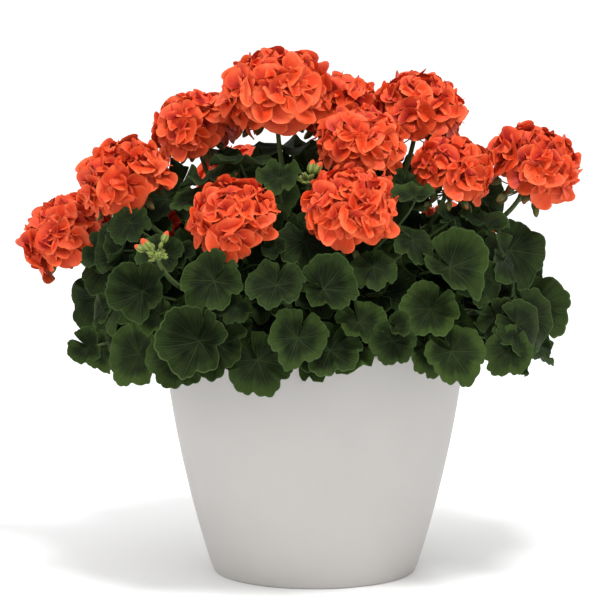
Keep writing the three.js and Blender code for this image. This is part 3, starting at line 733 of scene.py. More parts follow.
def blade_places(turns, shares, shape):
    """A blade's surface in radii: x to the tip, y across and z off the face.

    It is a shallow pleated bowl that droops at the tip, rises beside the sinus and is ruffled at its edge.
    Each point is given by its turn round the hub and its share of the way out to the edge.
    """
    bowl, waved, phase, droop, arch, twist, waves, ruffled, fold, heel, swell_x, swell_y = shape
    outline = blade_outline(turns)
    lobe = np.abs(np.cos(math.pi * turns / LOBE_TURN))
    x, y = outline * shares * np.cos(turns), outline * shares * np.sin(turns)
    rim = CUP * outline * lobe + (CUP + PLEAT) * (1 - lobe)
    z = rim * shares**1.3 * (0.4 + 1.7 * bowl**1.3)
    z = z + (0.04 + 0.08 * waved) * (1 - lobe) * shares**1.5 - 0.04 * lobe**10 * shares * (1.2 - shares)
    z = z + 0.026 * np.abs(np.sin(3 * math.pi * turns / LOBE_TURN)) * shares**2
    ruffle = (0.05 + 0.06 * waved) * np.sin(np.round(3 + 2 * waves) * turns + 7 * phase)
    ruffle = ruffle + (0.02 + 0.04 * ruffled) * np.sin(9 * turns + 9 * droop)
    z = z + ruffle * shares**3
    z = z + 0.016 * np.sin(8.5 * x + 9 * swell_x) * np.sin(8.5 * y + 9 * swell_y)
    z = z - (0.1 + 0.55 * droop) * np.maximum(x, 0) ** 2 + (0.5 * heel - 0.05) * np.maximum(-x, 0) ** 2
    z = z + 0.3 * (arch - 0.5) * y * y + 0.3 * (twist - 0.5) * x * y
    z = z + (0.6 * fold**1.5 - 0.16) * np.abs(y) * shares
    beside_sinus = np.clip((np.abs(turns) - 120 * DEGREE) / (50 * DEGREE), 0, 1)
    z = z + 0.05 * np.sign(turns) * beside_sinus**2 * shares
    return x, y, z


def each(blades, field):
    """One field of every blade, as an array."""
    return np.array([getattr(blade, field) for blade in blades])


def axes_of(blades):
    return np.stack([each(blades, field) for field in ("tip", "side", "normal")], 1)


def add_blades(skin, blades, ages_and_painted_light, rings, segments, thickness):
    """Adds many blades of the same fineness: a face, a back and the thin edge between them."""
    turns = np.linspace(-math.pi, math.pi, segments + 1)[None, None]
    shares = np.linspace(0, 1, rings)[None, :, None] ** 0.85
    shape = each(blades, "shape").T[..., None, None]
    local = np.stack(np.broadcast_arrays(*blade_places(turns, shares, shape)), -1)
    axes = axes_of(blades)
    scale = each(blades, "radius")[:, None, None, None]
    face = each(blades, "hub")[:, None, None] + np.einsum("brsk,bkc->brsc", local, axes) * scale
    back = face - axes[:, None, None, 2] * thickness * (1.6 - 0.8 * shares[..., None])
    chart = np.stack(np.broadcast_arrays(turns / FULL_TURN + 0.5, shares), -1).reshape(-1, 2)

    count, columns = len(blades), segments + 1
    faces = grid_faces(rings, columns)
    # Each blade's tint: its age mixed with painted light and shade, whether it is the back, and a draw.
    tint = np.stack([ages_and_painted_light, np.zeros(count), shape[2, :, 0, 0]], -1)
    skin.add_patches(face, faces, chart, tint)
    tint = tint + (0, 1, 0)
    skin.add_patches(back, faces[:, ::-1], chart, tint)
    edge = np.stack([back[:, -1], face[:, -1]], 1)
    skin.add_patches(edge, grid_faces(2, columns), np.tile(chart[-columns:], (2, 1)), tint)


class Foliage:
    """The blades placed so far, and what else stands in the next one's way."""

    # Where a blade is felt for: rings of points, by share of the way out, last turn and number
    FELT = ((1.0, 3.0, 27), (0.65, 3.0, 15), (0.3, 2.8, 7), (0.0, 0.0, 1))
    SHARES = np.repeat([share for share, _, _ in FELT], [count for _, _, count in FELT])
    TURNS = np.concatenate([np.linspace(-end, end, count) for _, end, count in FELT])

    # How near, in radii, an outer blade comes to be tested, and a hub to be too near
    TESTED, TOO_NEAR = 1.15, 0.3

    # How far off another blade's face, in radii, a point has to be to lie on one side of it
    MARGIN = 0.015

    # How far from a flower head's centre, in its radius, a blade has to keep
    HEAD_ROOM = 0.92

    def __init__(self, heads):
        self.heads = heads
        self.blades, self.felt, self.outer = [], [], 0

    def feel(self, blade):
        """Points all over a blade's surface."""
        local = np.stack(blade_places(self.TURNS, self.SHARES, blade.shape), -1)
        return blade.hub + blade.radius * local @ axes_of([blade])[0]

    def crosses(self, points, blades):
        """True for each blade whose row of points, or the one row, lies on both sides of it."""
        local = np.einsum("bpc,bkc->bpk", points - each(blades, "hub")[:, None], axes_of(blades))
        local = local / each(blades, "radius")[:, None, None]
        turns = np.arctan2(local[..., 1], local[..., 0])
        shares = np.hypot(local[..., 0], local[..., 1]) / blade_outline(turns)
        faces = blade_places(turns, np.minimum(shares, 1.1), each(blades, "shape").T[..., None])
        off = local[..., 2] - faces[2]
        within = shares < 1.02
        return (within & (off < self.MARGIN)).any(1) & (within & (off > -self.MARGIN)).any(1)

    def clear_of_the_rest(self, points):
        """True if the points keep off the planter's rim, the mix and the flower heads."""
        rim = POT_RADII[2]
        out = np.hypot(points[:, 0], points[:, 1])
        if ((points[:, 2] < POT_HEIGHT + 2) & (out < rim + 3) & (out > rim - 14)).any():
            return False
        if ((points[:, 2] < MIX_TOP + 8) & (out < rim)).any():
            return False
        nearest = [(np.linalg.norm(points - centre, axis=1).min(), radius) for centre, radius in self.heads]
        return all(distance > self.HEAD_ROOM * radius for distance, radius in nearest)

    def near(self, blade, reach):
        distances = np.linalg.norm(each(self.blades, "hub") - blade.hub, axis=1)
        return np.flatnonzero(distances < reach * (each(self.blades, "radius") + blade.radius))

    def has_room(self, blade):
        """True if the blade crosses none of the outer blades, nor anything else."""
        points = self.feel(blade)
        if not self.clear_of_the_rest(points):
            return False
        near = self.near(blade, self.TESTED)
        near = near[near < self.outer]
        if not len(near):
            return True
        if self.crosses(points[None], [self.blades[i] for i in near]).any():
            return False
        return not self.crosses(np.array([self.felt[i] for i in near]), [blade] * len(near)).any()

    def has_some_room(self, blade):
        """Deep in the mound, blades may touch each other away from their hubs."""
        return not len(self.near(blade, self.TOO_NEAR)) and self.has_room(blade)

    def place(self, blade, outer=True):
        self.blades.append(blade)
        self.felt.append(self.feel(blade))
        self.outer += outer


def facing(middle, normal, radius, roll, generator):
    """A blade from the middle of its outline, its normal, and its tip's turn from straight down."""
    down = unit(-UP + normal * normal[2])
    tip = down * math.cos(roll) + np.cross(normal, down) * math.sin(roll)
    hub, shape = middle - tip * 0.3 * radius, generator.random(DRAWS)
    return Blade(hub, tip, np.cross(normal, tip), normal, radius, shape)


# How far a blade leans from its solid's, and its size, in the order tried
SETTLING = [
    *[(1, 1)] * 4, (0.8, 1), (0.6, 1), (0.4, 1), (0.2, 1), (0.1, 1), (0.8, 0.9), (0.5, 0.9), (0.3, 0.8),
    (0.6, 0.7), (0.9, 0.7), (0.5, 0.6), (0.9, 0.6), (0.3, 0.5), (0.9, 0.5), (0.6, 0.45),
]


def settled_blades(grown, foliage, generator):
    """The solids' blades, each with its face turned a little outward and askew where there is room."""
    settled = []
    for blade in grown:
        aside = abs(blade.hub[0] / MOUND_SIZE[0])
        towards_ends = np.array([0, np.sign(blade.hub[1] - 45) * aside**1.5, 0])
        narrowed = 1 - 0.07 * aside**4
        for share, size in SETTLING:
            outward = unit(blade.hub * LEVEL + generator.normal(0, 12, 3))
            upward = (0.35 + 0.9 * generator.random()) * UP
            lean = 0.2 * outward + 1.25 * towards_ends + upward + generator.normal(0, 0.26, 3)
            normal = unit(blade.normal + share * lean)
            tip = unit(blade.tip - normal * blade.tip.dot(normal))
            roll = generator.normal(0, 0.5)
            tip = tip * math.cos(roll) + np.cross(normal, tip) * math.sin(roll)
            hub = blade.hub * (narrowed, 1, 1) + normal * generator.normal(0, 3)
            shape = generator.random(DRAWS)
            candidate = Blade(hub, tip, np.cross(normal, tip), normal, size * blade.radius, shape)
            if foliage.has_room(candidate):
                break
        foliage.place(candidate)
        settled.append(candidate)
    return settled


def hanging_blades(foliage, generator):
    """The leaves that hang over the rim's front, where they are seen to."""
    placed = []
    for across, up, radius, roll in HANGING_LEAVES:
        depth = -MOUND_SIZE[1] * math.sqrt(1 - (across / (MOUND_SIZE[0] + 12)) ** 2) - 4
        normal = unit(np.array([across / 420, depth / 200 - 0.2, 0.7]) + generator.normal(0, 0.15, 3))
        blade = facing(seen(across, up, depth), normal, radius, roll, generator)
        foliage.place(blade)
        placed.append(blade)
    return placed


# Filling the mound: a rule gives one more leaf's middle, normal, radius and roll


def place_in_mound(i, span, inset, vary, generator):
    """One of many places spread over the mound, with its normal, its level way out and its height."""
    height = 1 - span * ((i * GOLDEN_STEP) % 1.0)
    flat = math.sqrt(max(0.0, 1 - height * height))
    outward = np.array([flat * math.cos(i * GOLDEN_TURN), flat * math.sin(i * GOLDEN_TURN), height])
    middle = outward * (np.array(MOUND_SIZE) - inset - vary * generator.random()) + UP * MOUND_CENTRE
    level = unit(middle * LEVEL + generator.normal(0, 8, 3) * LEVEL)
    return middle, unit((middle - UP * MOUND_CENTRE) / np.square(MOUND_SIZE)), level, height


def small_leaf(i, generator):
    """A smaller leaf among the mound's outer ones."""
    middle, outward, level, height = place_in_mound(i, 1.24, -5, 40, generator)
    level[1] += 0.6 * np.sign(middle[1]) * abs(middle[0]) / MOUND_SIZE[0]
    lean = (0.3 + 0.7 * height) * level + (0.3 + 0.8 * generator.random()) * UP
    normal = unit(outward + lean + generator.normal(0, 0.22, 3))
    return middle, normal, 17 + 14 * generator.random(), generator.normal(0, 0.9)


def shoulder_leaf(i, generator):
    """A leaf under the outer ones that faces up to the light, all round the planter's rim."""
    turn = i * GOLDEN_TURN
    round_out = np.array([math.cos(turn), math.sin(turn), 0])
    out = math.sqrt(0.03 + 0.9 * ((i * EVEN_STEP) % 1.0))
    middle = round_out * MOUND_SIZE * out + UP * (232 + 150 * (1 - out) + 34 * generator.random())
    normal = unit(UP + 0.5 * round_out + generator.normal(0, 0.2, 3))
    return middle, normal, 24 + 12 * generator.random(), generator.normal(0, 0.8)


def deep_leaf(i, generator):
    """A leaf in the mound's dark inside."""
    middle, outward, level, height = place_in_mound(i, 1.15, 30, 50, generator)
    normal = unit(outward + 0.9 * height * level + generator.normal(0, 0.25, 3))
    return middle, normal, 22 + 12 * generator.random(), generator.normal(0, 0.9)


def fill(count, tries, rule, foliage, generator, outer):
    """Adds up to a count of the rule's leaves, with some tries for each, wherever there is room."""
    has_room = foliage.has_room if outer else foliage.has_some_room
    added = []
    for i in range(count * tries):
        if len(added) >= count:
            break
        middle, normal, radius, roll = rule(i, generator)
        blade = facing(middle, normal, radius, roll, generator)
        if abs(middle[0]) < FARTHEST_ACROSS and has_room(blade):
            foliage.place(blade, outer)
            added.append(blade)
    return added


def nearest_shoot(blade, lines):
    return min(lines, key=lambda name: np.linalg.norm(lines[name].tip - blade.hub))


def foliage_of(settings, lines, generator):
    """Each shoot's blades in three lists: the large ones, the small outer ones, and the inner ones."""
    grown = {name: blades_of("shoot_" + name, generator) for name in lines}
    if not any(grown.values()):
        raise RuntimeError("no leaf blades were found in the frame's shoots")
    foliage = Foliage([(lines[shoot.name].head, shoot.radius) for shoot in SHOOTS if shoot.radius])
    hanging = hanging_blades(foliage, generator)
    blades = {name: (settled_blades(own, foliage, generator), [], []) for name, own in grown.items()}
    small = fill(settings.small_leaves, 24, small_leaf, foliage, generator, outer=True)
    shoulder = fill(settings.shoulder_leaves, 14, shoulder_leaf, foliage, generator, outer=False)
    deep = fill(settings.deep_leaves, 16, deep_leaf, foliage, generator, outer=False)
    for which, added in enumerate((hanging, small, shoulder + deep)):
        for blade in added:
            blades[nearest_shoot(blade, lines)][which].append(blade)
    return blades


# Flower heads and buds


def floret_directions(axis, count, generator):
    """Directions spread over the open part of a head, each a little astray."""
    bottom = math.cos(HEAD_OPEN)
    directions = []
    for i in range(count):
        height = 1 - (i + 0.5) / count * (1 - bottom)
        direction = away_from(axis, math.acos(height), i * GOLDEN_TURN)
        directions.append(unit(direction + generator.normal(0, 0.05, 3)))
    return np.array(directions)


def upright_axes(directions):
    """Two unit vectors across each direction, the first as near to straight up as it can be."""
    upward = unit(UP + 0.02 - directions * (UP + 0.02).dot(directions.T)[:, None])
    return upward, np.cross(directions, upward)


# One ring of a floret's petals: how many, their length, rise and width in the floret's size, how far they
# curl in, how much deeper their colour is, and the rows and columns of points in each
Ring = namedtuple("Ring", "petals length rise width curl inner rows columns")
RINGS = (Ring(5, 1.08, 0.37, 0.68, 0.0, 0.0, 9, 8), Ring(4, 0.60, 0.60, 0.40, 0.14, 0.6, 7, 6))

# Where a petal is at its broadest, as a share of its length
BROADEST = 0.64

Florets = namedtuple("Florets", "throats axes spins draws size")


def petal_patches(throats, axes, spins, size, ring, generator):
    """Petals as grids of points, one for each throat, axis and spin: narrow at the foot, broad at the end."""
    s = (1 - (1 - np.linspace(0.03, 1, ring.rows)) ** 1.35)[None, :, None]
    t = np.linspace(-1, 1, ring.columns)[None, None, :]
    draws = generator.random((len(throats), 7)).T[..., None, None]
    longer, higher, wider, cupped, wave_at, ripple_at, nod = draws
    upward, side = upright_axes(axes)
    turn = spins[:, None]
    outward = upward * np.cos(turn) + side * np.sin(turn)
    across = np.cross(axes, outward)
    length = size * ring.length * (0.86 + 0.28 * longer)
    rise = size * ring.rise * (0.82 + 0.36 * higher)
    width = size * ring.width
    rounded = np.sqrt(np.clip(1 - ((s - BROADEST) / (1.015 - BROADEST)) ** 2, 0, 1))
    half = width * (0.88 + 0.24 * wider) * np.where(s < BROADEST, (s / BROADEST) ** 0.85, rounded)
    out = length * (s**1.15 - ring.curl * s**3)
    up = rise * (1 - (1 - s) ** 1.9) - (0.05 + 0.25 * nod) * rise * s**4
    cup = (0.10 + 0.3 * cupped) * half * t * t
    wave = 0.07 * width * np.sin(3.0 * t + 6.3 * wave_at) * s**2
    wave = wave + 0.04 * width * np.sin(7.0 * t + 6.3 * ripple_at) * s**4
    shingle = 0.24 * half * t
    height = up + cup + wave + shingle
    spread = half * t * (1 - 0.06 * t * t)
    points = throats[:, None, None] + outward[:, None, None] * out[..., None]
    points = points + across[:, None, None] * spread[..., None] + axes[:, None, None] * height[..., None]
    chart = np.stack(np.broadcast_arrays((t + 1) / 2, s), -1).reshape(-1, 2)
    return points, chart


def add_petals(skin, ring, florets, generator):
    """Adds one ring of petals to every floret, the upper ones deeper in colour."""
    petals, count = ring.petals, len(florets.throats)
    around = (np.arange(petals) + 0.5) * FULL_TURN / petals
    upper = np.tile(np.clip(np.cos(around), 0, 1), count)
    spins = (florets.spins[:, None] + around).ravel() + generator.normal(0, 0.12, count * petals)
    throats, axes = np.repeat(florets.throats, petals, 0), np.repeat(florets.axes, petals, 0)
    points, chart = petal_patches(throats, axes, spins, florets.size, ring, generator)
    own = 0.62 * upper + 0.38 * generator.random(count * petals)
    tints = np.stack([own, np.full(count * petals, ring.inner), np.repeat(florets.draws, petals)], -1)
    skin.add_patches(points, grid_faces(ring.rows, ring.columns), chart, tints)


def add_stamens(skin, florets, generator):
    """Thin filaments in each throat, as narrow three-sided spikes."""
    spikes = 6
    axes, roots = np.repeat(florets.axes, spikes, 0), np.repeat(florets.throats, spikes, 0)
    lean = unit(axes + generator.normal(0, 0.16, axes.shape))
    side = unit(np.cross(lean, UP + 0.1))
    other = np.cross(lean, side)
    length = florets.size * (0.42 + 0.16 * generator.random((len(axes), 1)))
    rows = []
    for share, width in ((0.0, 0.45), (0.75, 0.38), (0.86, 0.95), (1.0, 0.2)):
        middle = roots + lean * length * share
        corners = [middle + side * width * math.cos(a) + other * width * math.sin(a) for a in (0, 2.1, 4.2)]
        rows.append(np.stack(corners, 1))
    chart = np.repeat([[0.5, 0.1], [0.5, 0.2], [0.5, 0.95], [0.5, 1.0]], 3, 0)
    tints = np.tile([0.5, 0.3, 0.0], (len(axes), 1))
    skin.add_patches(np.stack(rows, 1), grid_faces(4, 3, closed=True), chart, tints)


def add_florets(skin, lines, radius, settings, generator):
    """A head's florets: a ring of broad petals and a ring of small ones each, with stamens, on pedicels."""
    head, axis = lines.head, lines.axis
    count = round(settings.florets * (radius / COMMON_HEAD) ** 2)
    directions = floret_directions(axis, count, generator)
    size = radius * FLORET_SIZE * math.sqrt(COMMON_FLORETS / settings.florets)
    depth = radius * (0.5 + 0.14 * generator.random(count))
    along = directions @ axis
    throats = head + directions * depth[:, None] - np.outer(along * depth * (1 - FLATNESS), axis)
    throats = throats - axis * 0.08 * radius
    florets = Florets(throats, directions, generator.normal(0, 0.35, count), generator.random(count), size)
    for ring in RINGS:
        add_petals(skin, ring, florets, generator)
    add_stamens(skin, florets, generator)

    for throat, direction, draw in zip(throats, directions, florets.draws):
        foot = lines.seat + (generator.random(3) - 0.5) * 2.4
        bend = lerp(foot, throat, 0.45) + axis * 0.16 * radius
        cup = throat - direction * 0.08 * radius
        line = np.vstack([bezier((foot, bend, cup - direction * 4), np.linspace(0, 1, 6)), cup[None]])
        add_stalk(skin, line, [0.75, 0.7, 0.7, 0.75, 0.8, 1.1, 1.5], 5, (0, 0.15 * draw, 0))
        calyx = np.array([cup - direction * 1.0, cup + direction * 1.5, cup + direction * 5.0])
        add_stalk(skin, calyx, [1.5, 2.7, 2.9], 6, (0, 0.1, 0))


def add_bud(skin, start, place, direction, size, ripe, hanging, sides, radii):
    """A bud on an arched pedicel: a spindle with five soft ribs, and a tip that may show its petals."""
    bend = lerp(start, place, 0.5) - UP * 2
    pedicel = bezier((start, bend, place - direction * size * 4), np.linspace(0, 1, sides))
    add_stalk(skin, pedicel, np.linspace(*radii, sides), sides, (0, 0.1, 0))

    shares = np.array([-0.52, -0.47, -0.36, -0.2, 0.0, 0.18, 0.34, 0.46, 0.53, 0.56])
    widths = np.array([0.25, 0.55, 0.86, 1.0, 0.98, 0.84, 0.64, 0.44, 0.22, 0.04])
    sides = 15
    line = place + direction * (shares * size * 11)[:, None]
    rings = tube_points(line, widths * size * 3.5, sides)
    rib = 0.07 * np.abs(np.sin(5 * math.pi * (np.arange(sides) / sides)))
    ribs = 1 + rib[None, :, None] * (widths > 0.3)[:, None, None]
    add_rings(skin, line[:, None] + (rings - line[:, None]) * ribs, (ripe, hanging, 0), BUD)


# A spray of buds, as its solid has it: a least and a range for each bud's tilt in degrees, for its reach, in
# millimetres or for a head in its radius, and for its size
Spray = namedtuple("Spray", "tilt reach size")
YOUNG_BUDS = Spray((18, 74), (13, 9), (0.75, 0.5))
HANGING_BUDS = Spray((152, 8), (0.62, 0.2), (0.95, 0.3))
BUD_SEED = 11


def add_buds(skin, shoot, lines):
    """The solid's buds, and smaller ones between them: hanging below a head, or up in a young cluster."""
    young = shoot.radius == 0
    spray = YOUNG_BUDS if young else HANGING_BUDS
    start, centre = (lines.seat, lines.seat) if young else (lines.neck, lines.head)
    hanging = float(not young)
    draw = seeded_draw(BUD_SEED + len(shoot.name) * 7 + shoot.buds)
    generator = np.random.default_rng(len(shoot.name) + shoot.buds)

    def within(span):
        return span[0] + span[1] * draw()

    for i in range(shoot.buds):
        tilt = within(spray.tilt) * DEGREE
        direction = away_from(lines.axis, tilt, i * GOLDEN_TURN + draw())
        reach = within(spray.reach) * (shoot.radius or 1)
        size = within(spray.size)
        ripe = float(i % 3 == 0) if young else 0.3 * generator.random()
        if young and not ripe:
            reach, size = 0.62 * reach, 0.62 * size
        add_bud(skin, start, centre + direction * reach, direction, size, ripe, hanging, 6, (0.8, 1.0))
    for i in range(20 if young else 2 * shoot.buds - 2):
        if young:
            direction = away_from(lines.axis, 105 * DEGREE * math.sqrt(generator.random()), i * GOLDEN_TURN)
            place, size = centre + direction * (4 + 6 * generator.random()), 0.4 + 0.16 * generator.random()
            ripe = 0.0
        else:
            direction = away_from(lines.axis, (128 + 34 * generator.random()) * DEGREE, i * GOLDEN_TURN + 0.6)
            place, size = centre + direction * shoot.radius * (0.78 + 0.3 * generator.random()), 0.95
            ripe = 0.35 * generator.random()
        add_bud(skin, start, place, direction, size, ripe, hanging, 5, (0.6, 0.7))


# The operators, one for each piece or group of like pieces


class GERANIUM_OT_planter(bpy.types.Operator):
    """Turn the tapered planter, with its lip and its floor"""

    bl_idname = "geranium.planter"
    bl_label = "Planter"

    def execute(self, context):
        skin = Skin()
        rings = turned(self.profile(), 144)
        skin.add(rings, grid_faces(*rings.shape[:2], closed=True))
        settings = context.scene.geranium_planter
        piece = skin.build("planter", [finish_of("planter_plastic", planter_finish, settings)])
        stand_for(piece, "planter", "pot")
        return {"FINISHED"}

    def profile(self):
        """Radii and heights along the base, round the foot, up the wall, over the lip and to the floor."""
        base, _, rim = POT_RADII
        foot, edge, inner = POT_ROUNDS
        lip, height = rim - POT_LIP, POT_HEIGHT
        arc = [(math.sin(turn), math.cos(turn)) for turn in np.linspace(0, math.pi / 2, 5)]
        return [
            (0.01, 0.0),
            (40.0, 0.0),
            (80.0, 0.0),
            *[(base - foot + foot * sine, foot - foot * cosine) for sine, cosine in arc],
            *[(pot_radius(z), z) for z in np.linspace(8, height - 6, 26)],
            *[(rim - edge + edge * cosine, height - edge + edge * sine) for sine, cosine in arc],
            *[(lip + inner - inner * sine, height - inner + inner * cosine) for sine, cosine in arc],
            (lip, height - 9),
            (lip + 1.5, height - 11),
            *[(pot_radius(z) - POT_WALL, z) for z in np.linspace(height - 16, POT_FLOOR, 10)],
            (0.01, POT_FLOOR),
        ]


class GERANIUM_OT_potting_mix(bpy.types.Operator):
    """Fill the planter with moist mix, crumbly on top"""

    bl_idname = "geranium.potting_mix"
    bl_label = "Potting mix"

    def execute(self, context):
        settings = context.scene.geranium_planter
        skin = Skin()
        edge = pot_radius(MIX_TOP) - MIX_EDGE
        self.add_ground(skin, edge)
        self.add_crumbs(skin, edge, settings.crumbs, settings.crumb / MM)
        piece = skin.build("potting_mix_top", [finish_of("potting_mix", mix_finish, settings)])
        stand_for(piece, "mix", "potting_mix")
        return {"FINISHED"}

    def add_ground(self, skin, edge):
        """The lumpy top, and the side that goes down inside the planter."""
        segments, rings = 96, 26
        turns = even_turns(segments)
        radii = np.linspace(0.01, 1, rings)[:, None] * edge
        x, y = radii * np.cos(turns), radii * np.sin(turns)
        lumps = sum(
            height * np.sin(x / size + 1.7 * k) * np.cos(y / size - 2.3 * k)
            for k, (height, size) in enumerate(MIX_LUMPS)
        )
        z = MIX_TOP + MIX_CROWN * (1 - radii / edge) + lumps - 0.4
        skin.add(np.stack(np.broadcast_arrays(x, y, z), -1), grid_faces(rings, segments, closed=True))
        side = [(pot_radius(z) - MIX_SIDE, z) for z in (MIX_TOP - 2, 160.0, 100.0, 50.0, 6.4)]
        skin.add(turned(side, segments), grid_faces(len(side), segments, closed=True)[:, ::-1])

    def add_crumbs(self, skin, edge, count, size):
        """Rough crumbs, thrown on the top."""
        generator = np.random.default_rng(5)
        ball = bmesh.new()
        bmesh.ops.create_icosphere(ball, subdivisions=1, radius=1)
        points = np.array([vert.co for vert in ball.verts])
        faces = np.array([[vert.index for vert in face.verts] for face in ball.faces])
        ball.free()
        spread = np.sqrt(generator.random(count)) * (edge - 3)
        around = generator.random(count) * FULL_TURN
        heights = MIX_TOP + MIX_CROWN * (1 - spread / edge) + 1.2
        middles = np.stack([spread * np.cos(around), spread * np.sin(around), heights], -1)
        sizes = size * (0.3 + 0.6 * generator.random((count, 1, 3)))
        rough = points[None] * (0.8 + 0.45 * generator.random((count, len(points), 1)))
        skin.add_patches(middles[:, None] + rough * sizes, faces, (0.0, 0.0), generator.random((count, 3)))


class GERANIUM_OT_shoots(bpy.types.Operator):
    """Dress each leafy shoot: stem, petioles, blades, flower stalk and buds"""

    bl_idname = "geranium.shoots"
    bl_label = "Leafy shoots"

    # For each of a shoot's three lists of blades: its rings and segments, and how much painted shade darkens
    # its petioles
    FINENESS = ((8, 105, 0.3), (6, 63, 0.5), (4, 35, 1.1))

    def execute(self, context):
        leaves = context.scene.geranium_leaves
        materials = [
            finish_of("leaf_green", leaf_finish, leaves),
            finish_of("stalk_green", stalk_finish, leaves),
            finish_of("bud_green", bud_finish, context.scene.geranium_flowers),
        ]
        generator = np.random.default_rng(21)
        lines = {shoot.name: Lines(shoot) for shoot in SHOOTS}
        blades = foliage_of(leaves, lines, generator)
        for shoot in SHOOTS:
            skin = Skin()
            self.add_stem(skin, lines[shoot.name])
            add_buds(skin, shoot, lines[shoot.name])
            self.add_leaves(skin, blades[shoot.name], lines[shoot.name], leaves.thickness / MM, generator)
            piece = skin.build("leafy_shoot_" + shoot.name, materials)
            stand_for(piece, "green", "shoot_" + shoot.name)
        return {"FINISHED"}

    def add_stem(self, skin, line):
        """An old ringed stem that narrows into the green flower stalk."""
        root = line.base - UP * (line.base[2] - MIX_TOP + 30)
        stem = np.vstack([root[None], bezier(line.stem, np.linspace(0, 1, 15))])
        widths = np.linspace(STEM_RADIUS, STEM_TIP_RADIUS, len(stem))
        widths = widths * (1 + 0.10 * (np.arange(len(stem)) % 4 == 2))
        # The stem, under the leaves, takes painted shade.
        add_stalk(skin, stem, widths, 10, (0.9, 0.4, 0))
        stalk = np.vstack([bezier(line.stalk, np.linspace(0, 1, 13)), line.seat[None]])
        add_stalk(skin, stalk, np.linspace(2.9, 2.3, len(stalk)), 9, (0, 0.1, 0))

    def add_leaves(self, skin, lists, line, thickness, generator):
        """Each blade on its petiole."""
        for blades, (rings, segments, painted_shade) in zip(lists, self.FINENESS):
            if not blades:
                continue
            add_blades(skin, blades, self.ages_and_painted_light(each(blades, "hub"), generator), rings, segments, thickness)
            for blade in blades:
                path = petiole_line(blade, line)
                # The petioles take painted shade, most for the inner blades.
                add_stalk(skin, path, np.linspace(1.8, 1.1, len(path)), 6, (0, painted_shade * generator.random(), 0))

    def ages_and_painted_light(self, hubs, generator):
        """How young each leaf is, mixed with painted light and shade: most are dark, leaves on the mound's
        outside are painted lighter, and those deeper in or higher up under the heads darker.
        """
        outward = np.linalg.norm((hubs - UP * MOUND_CENTRE) / MOUND_SIZE, axis=1)
        # Painted light and shade: leaves farther out on the mound are lighter, and leaves higher up, under
        # the heads, are darker.
        young = generator.random(len(hubs)) ** 1.8 + 0.6 * (outward - 0.88)
        return np.clip(young * np.clip(1.2 - (hubs[:, 2] - 220) / 130, 0.45, 1.2), 0, 1)


class GERANIUM_OT_flower_heads(bpy.types.Operator):
    """Set a head of overlapping florets on each flower stalk"""

    bl_idname = "geranium.flower_heads"
    bl_label = "Flower heads"

    def execute(self, context):
        flowers = context.scene.geranium_flowers
        materials = [
            finish_of("petal_orange", petal_finish, flowers),
            finish_of("stalk_green", stalk_finish, context.scene.geranium_leaves),
        ]
        for which, shoot in enumerate(SHOOTS):
            if not shoot.radius:
                continue
            skin = Skin()
            add_florets(skin, Lines(shoot), shoot.radius, flowers, np.random.default_rng(100 + which))
            piece = skin.build("flower_head_" + shoot.name, materials)
            stand_for(piece, "petal", "bloom_" + shoot.name)
        return {"FINISHED"}


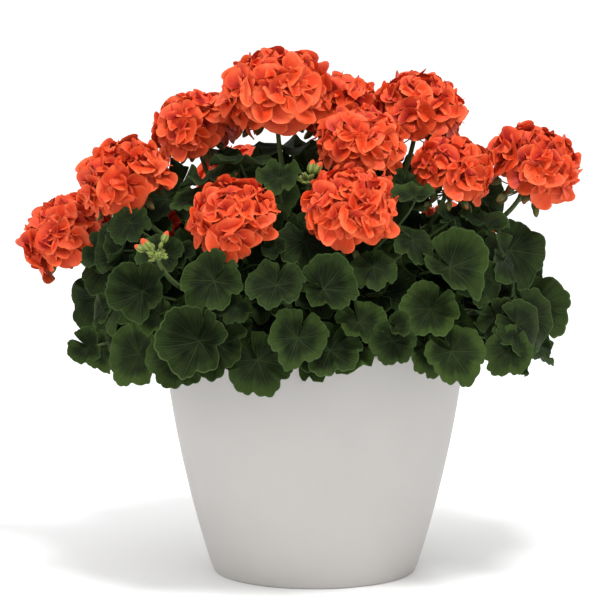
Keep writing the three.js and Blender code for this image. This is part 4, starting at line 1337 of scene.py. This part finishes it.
class GERANIUM_OT_stage(bpy.types.Operator):
    """Set the pale floor, the soft lamps and the camera"""

    bl_idname = "geranium.stage"
    bl_label = "Stage"

    def execute(self, context):
        scene, settings = context.scene, context.scene.geranium_stage
        self.lay_floor(settings)
        self.hang_lamps(scene)
        self.set_camera(scene, settings)
        scene.view_settings.view_transform = "Standard"
        return {"FINISHED"}

    def lay_floor(self, settings):
        half = 12.0
        corners = [(-half, -half, 0), (half, -half, 0), (half, half, 0), (-half, half, 0)]
        mesh = bpy.data.meshes.new("floor")
        mesh.from_pydata(corners, [], [(0, 1, 2, 3)])
        mesh.materials.append(floor_finish(settings))
        floor = linked("floor", mesh)

    def hang_lamps(self, scene):
        """A pale surround, and round soft lamps."""
        world = bpy.data.worlds.new("studio")
        world.use_nodes = True
        background = world.node_tree.nodes["Background"]
        background.inputs["Color"].default_value = (1.0, 1.0, 1.0, 1.0)
        background.inputs["Strength"].default_value = 0.7
        scene.world = world
        for name, (place, target, size, power) in LAMPS.items():
            lamp = bpy.data.lights.new(name, "AREA")
            lamp.shape, lamp.size, lamp.energy = "DISK", size, power
            linked(name, lamp).matrix_world = self.looking(Vector(place), Vector(target) - Vector(place))

    def set_camera(self, scene, settings):
        """A long lens that looks a little down, and spans the frame's width at the planter's axis."""
        up_in_picture = Vector((0, math.sin(SEEN_FROM), math.cos(SEEN_FROM)))
        towards = Vector((0, -math.cos(SEEN_FROM), math.sin(SEEN_FROM)))
        aim = Vector((settings.aim_across, 0, 0)) + up_in_picture * settings.aim_up
        lens = bpy.data.cameras.new("camera")
        lens.sensor_width = 36
        lens.lens = lens.sensor_width * settings.distance / settings.frame_width
        lens.clip_end = 50
        scene.camera = linked("camera", lens)
        scene.camera.matrix_world = self.looking(aim + towards * settings.distance, -towards)

    def looking(self, place, direction):
        """The transform of a lamp or camera at a place that looks in a direction."""
        return Matrix.Translation(place) @ direction.to_track_quat("-Z", "Y").to_matrix().to_4x4()


class GERANIUM_PT_panel(bpy.types.Panel):
    """The geranium's pieces and their settings"""

    bl_idname = "GERANIUM_PT_panel"
    bl_label = "Potted Geranium"
    bl_space_type = "VIEW_3D"
    bl_region_type = "UI"
    bl_category = "Geranium"

    def draw(self, context):
        for operator in OPERATORS:
            self.layout.operator(operator.bl_idname)
        for name, group in SETTINGS.items():
            box = self.layout.box()
            for field in group.__annotations__:
                box.prop(getattr(context.scene, name), field)


SETTINGS = {
    "geranium_planter": GeraniumPlanterSettings,
    "geranium_leaves": GeraniumLeafSettings,
    "geranium_flowers": GeraniumFlowerSettings,
    "geranium_stage": GeraniumStageSettings,
}
OPERATORS = (
    GERANIUM_OT_stage,
    GERANIUM_OT_planter,
    GERANIUM_OT_potting_mix,
    GERANIUM_OT_shoots,
    GERANIUM_OT_flower_heads,
)
CLASSES = (*SETTINGS.values(), *OPERATORS, GERANIUM_PT_panel)


def register():
    for kind in CLASSES:
        bpy.utils.register_class(kind)
    for name, group in SETTINGS.items():
        setattr(bpy.types.Scene, name, PointerProperty(type=group))


def unregister():
    for name in SETTINGS:
        delattr(bpy.types.Scene, name)
    for kind in reversed(CLASSES):
        bpy.utils.unregister_class(kind)


def main():
    register()
    bpy.ops.geranium.stage()
    bpy.ops.geranium.planter()
    bpy.ops.geranium.potting_mix()
    bpy.ops.geranium.shoots()
    bpy.ops.geranium.flower_heads()


if __name__ == "__main__":
    main()
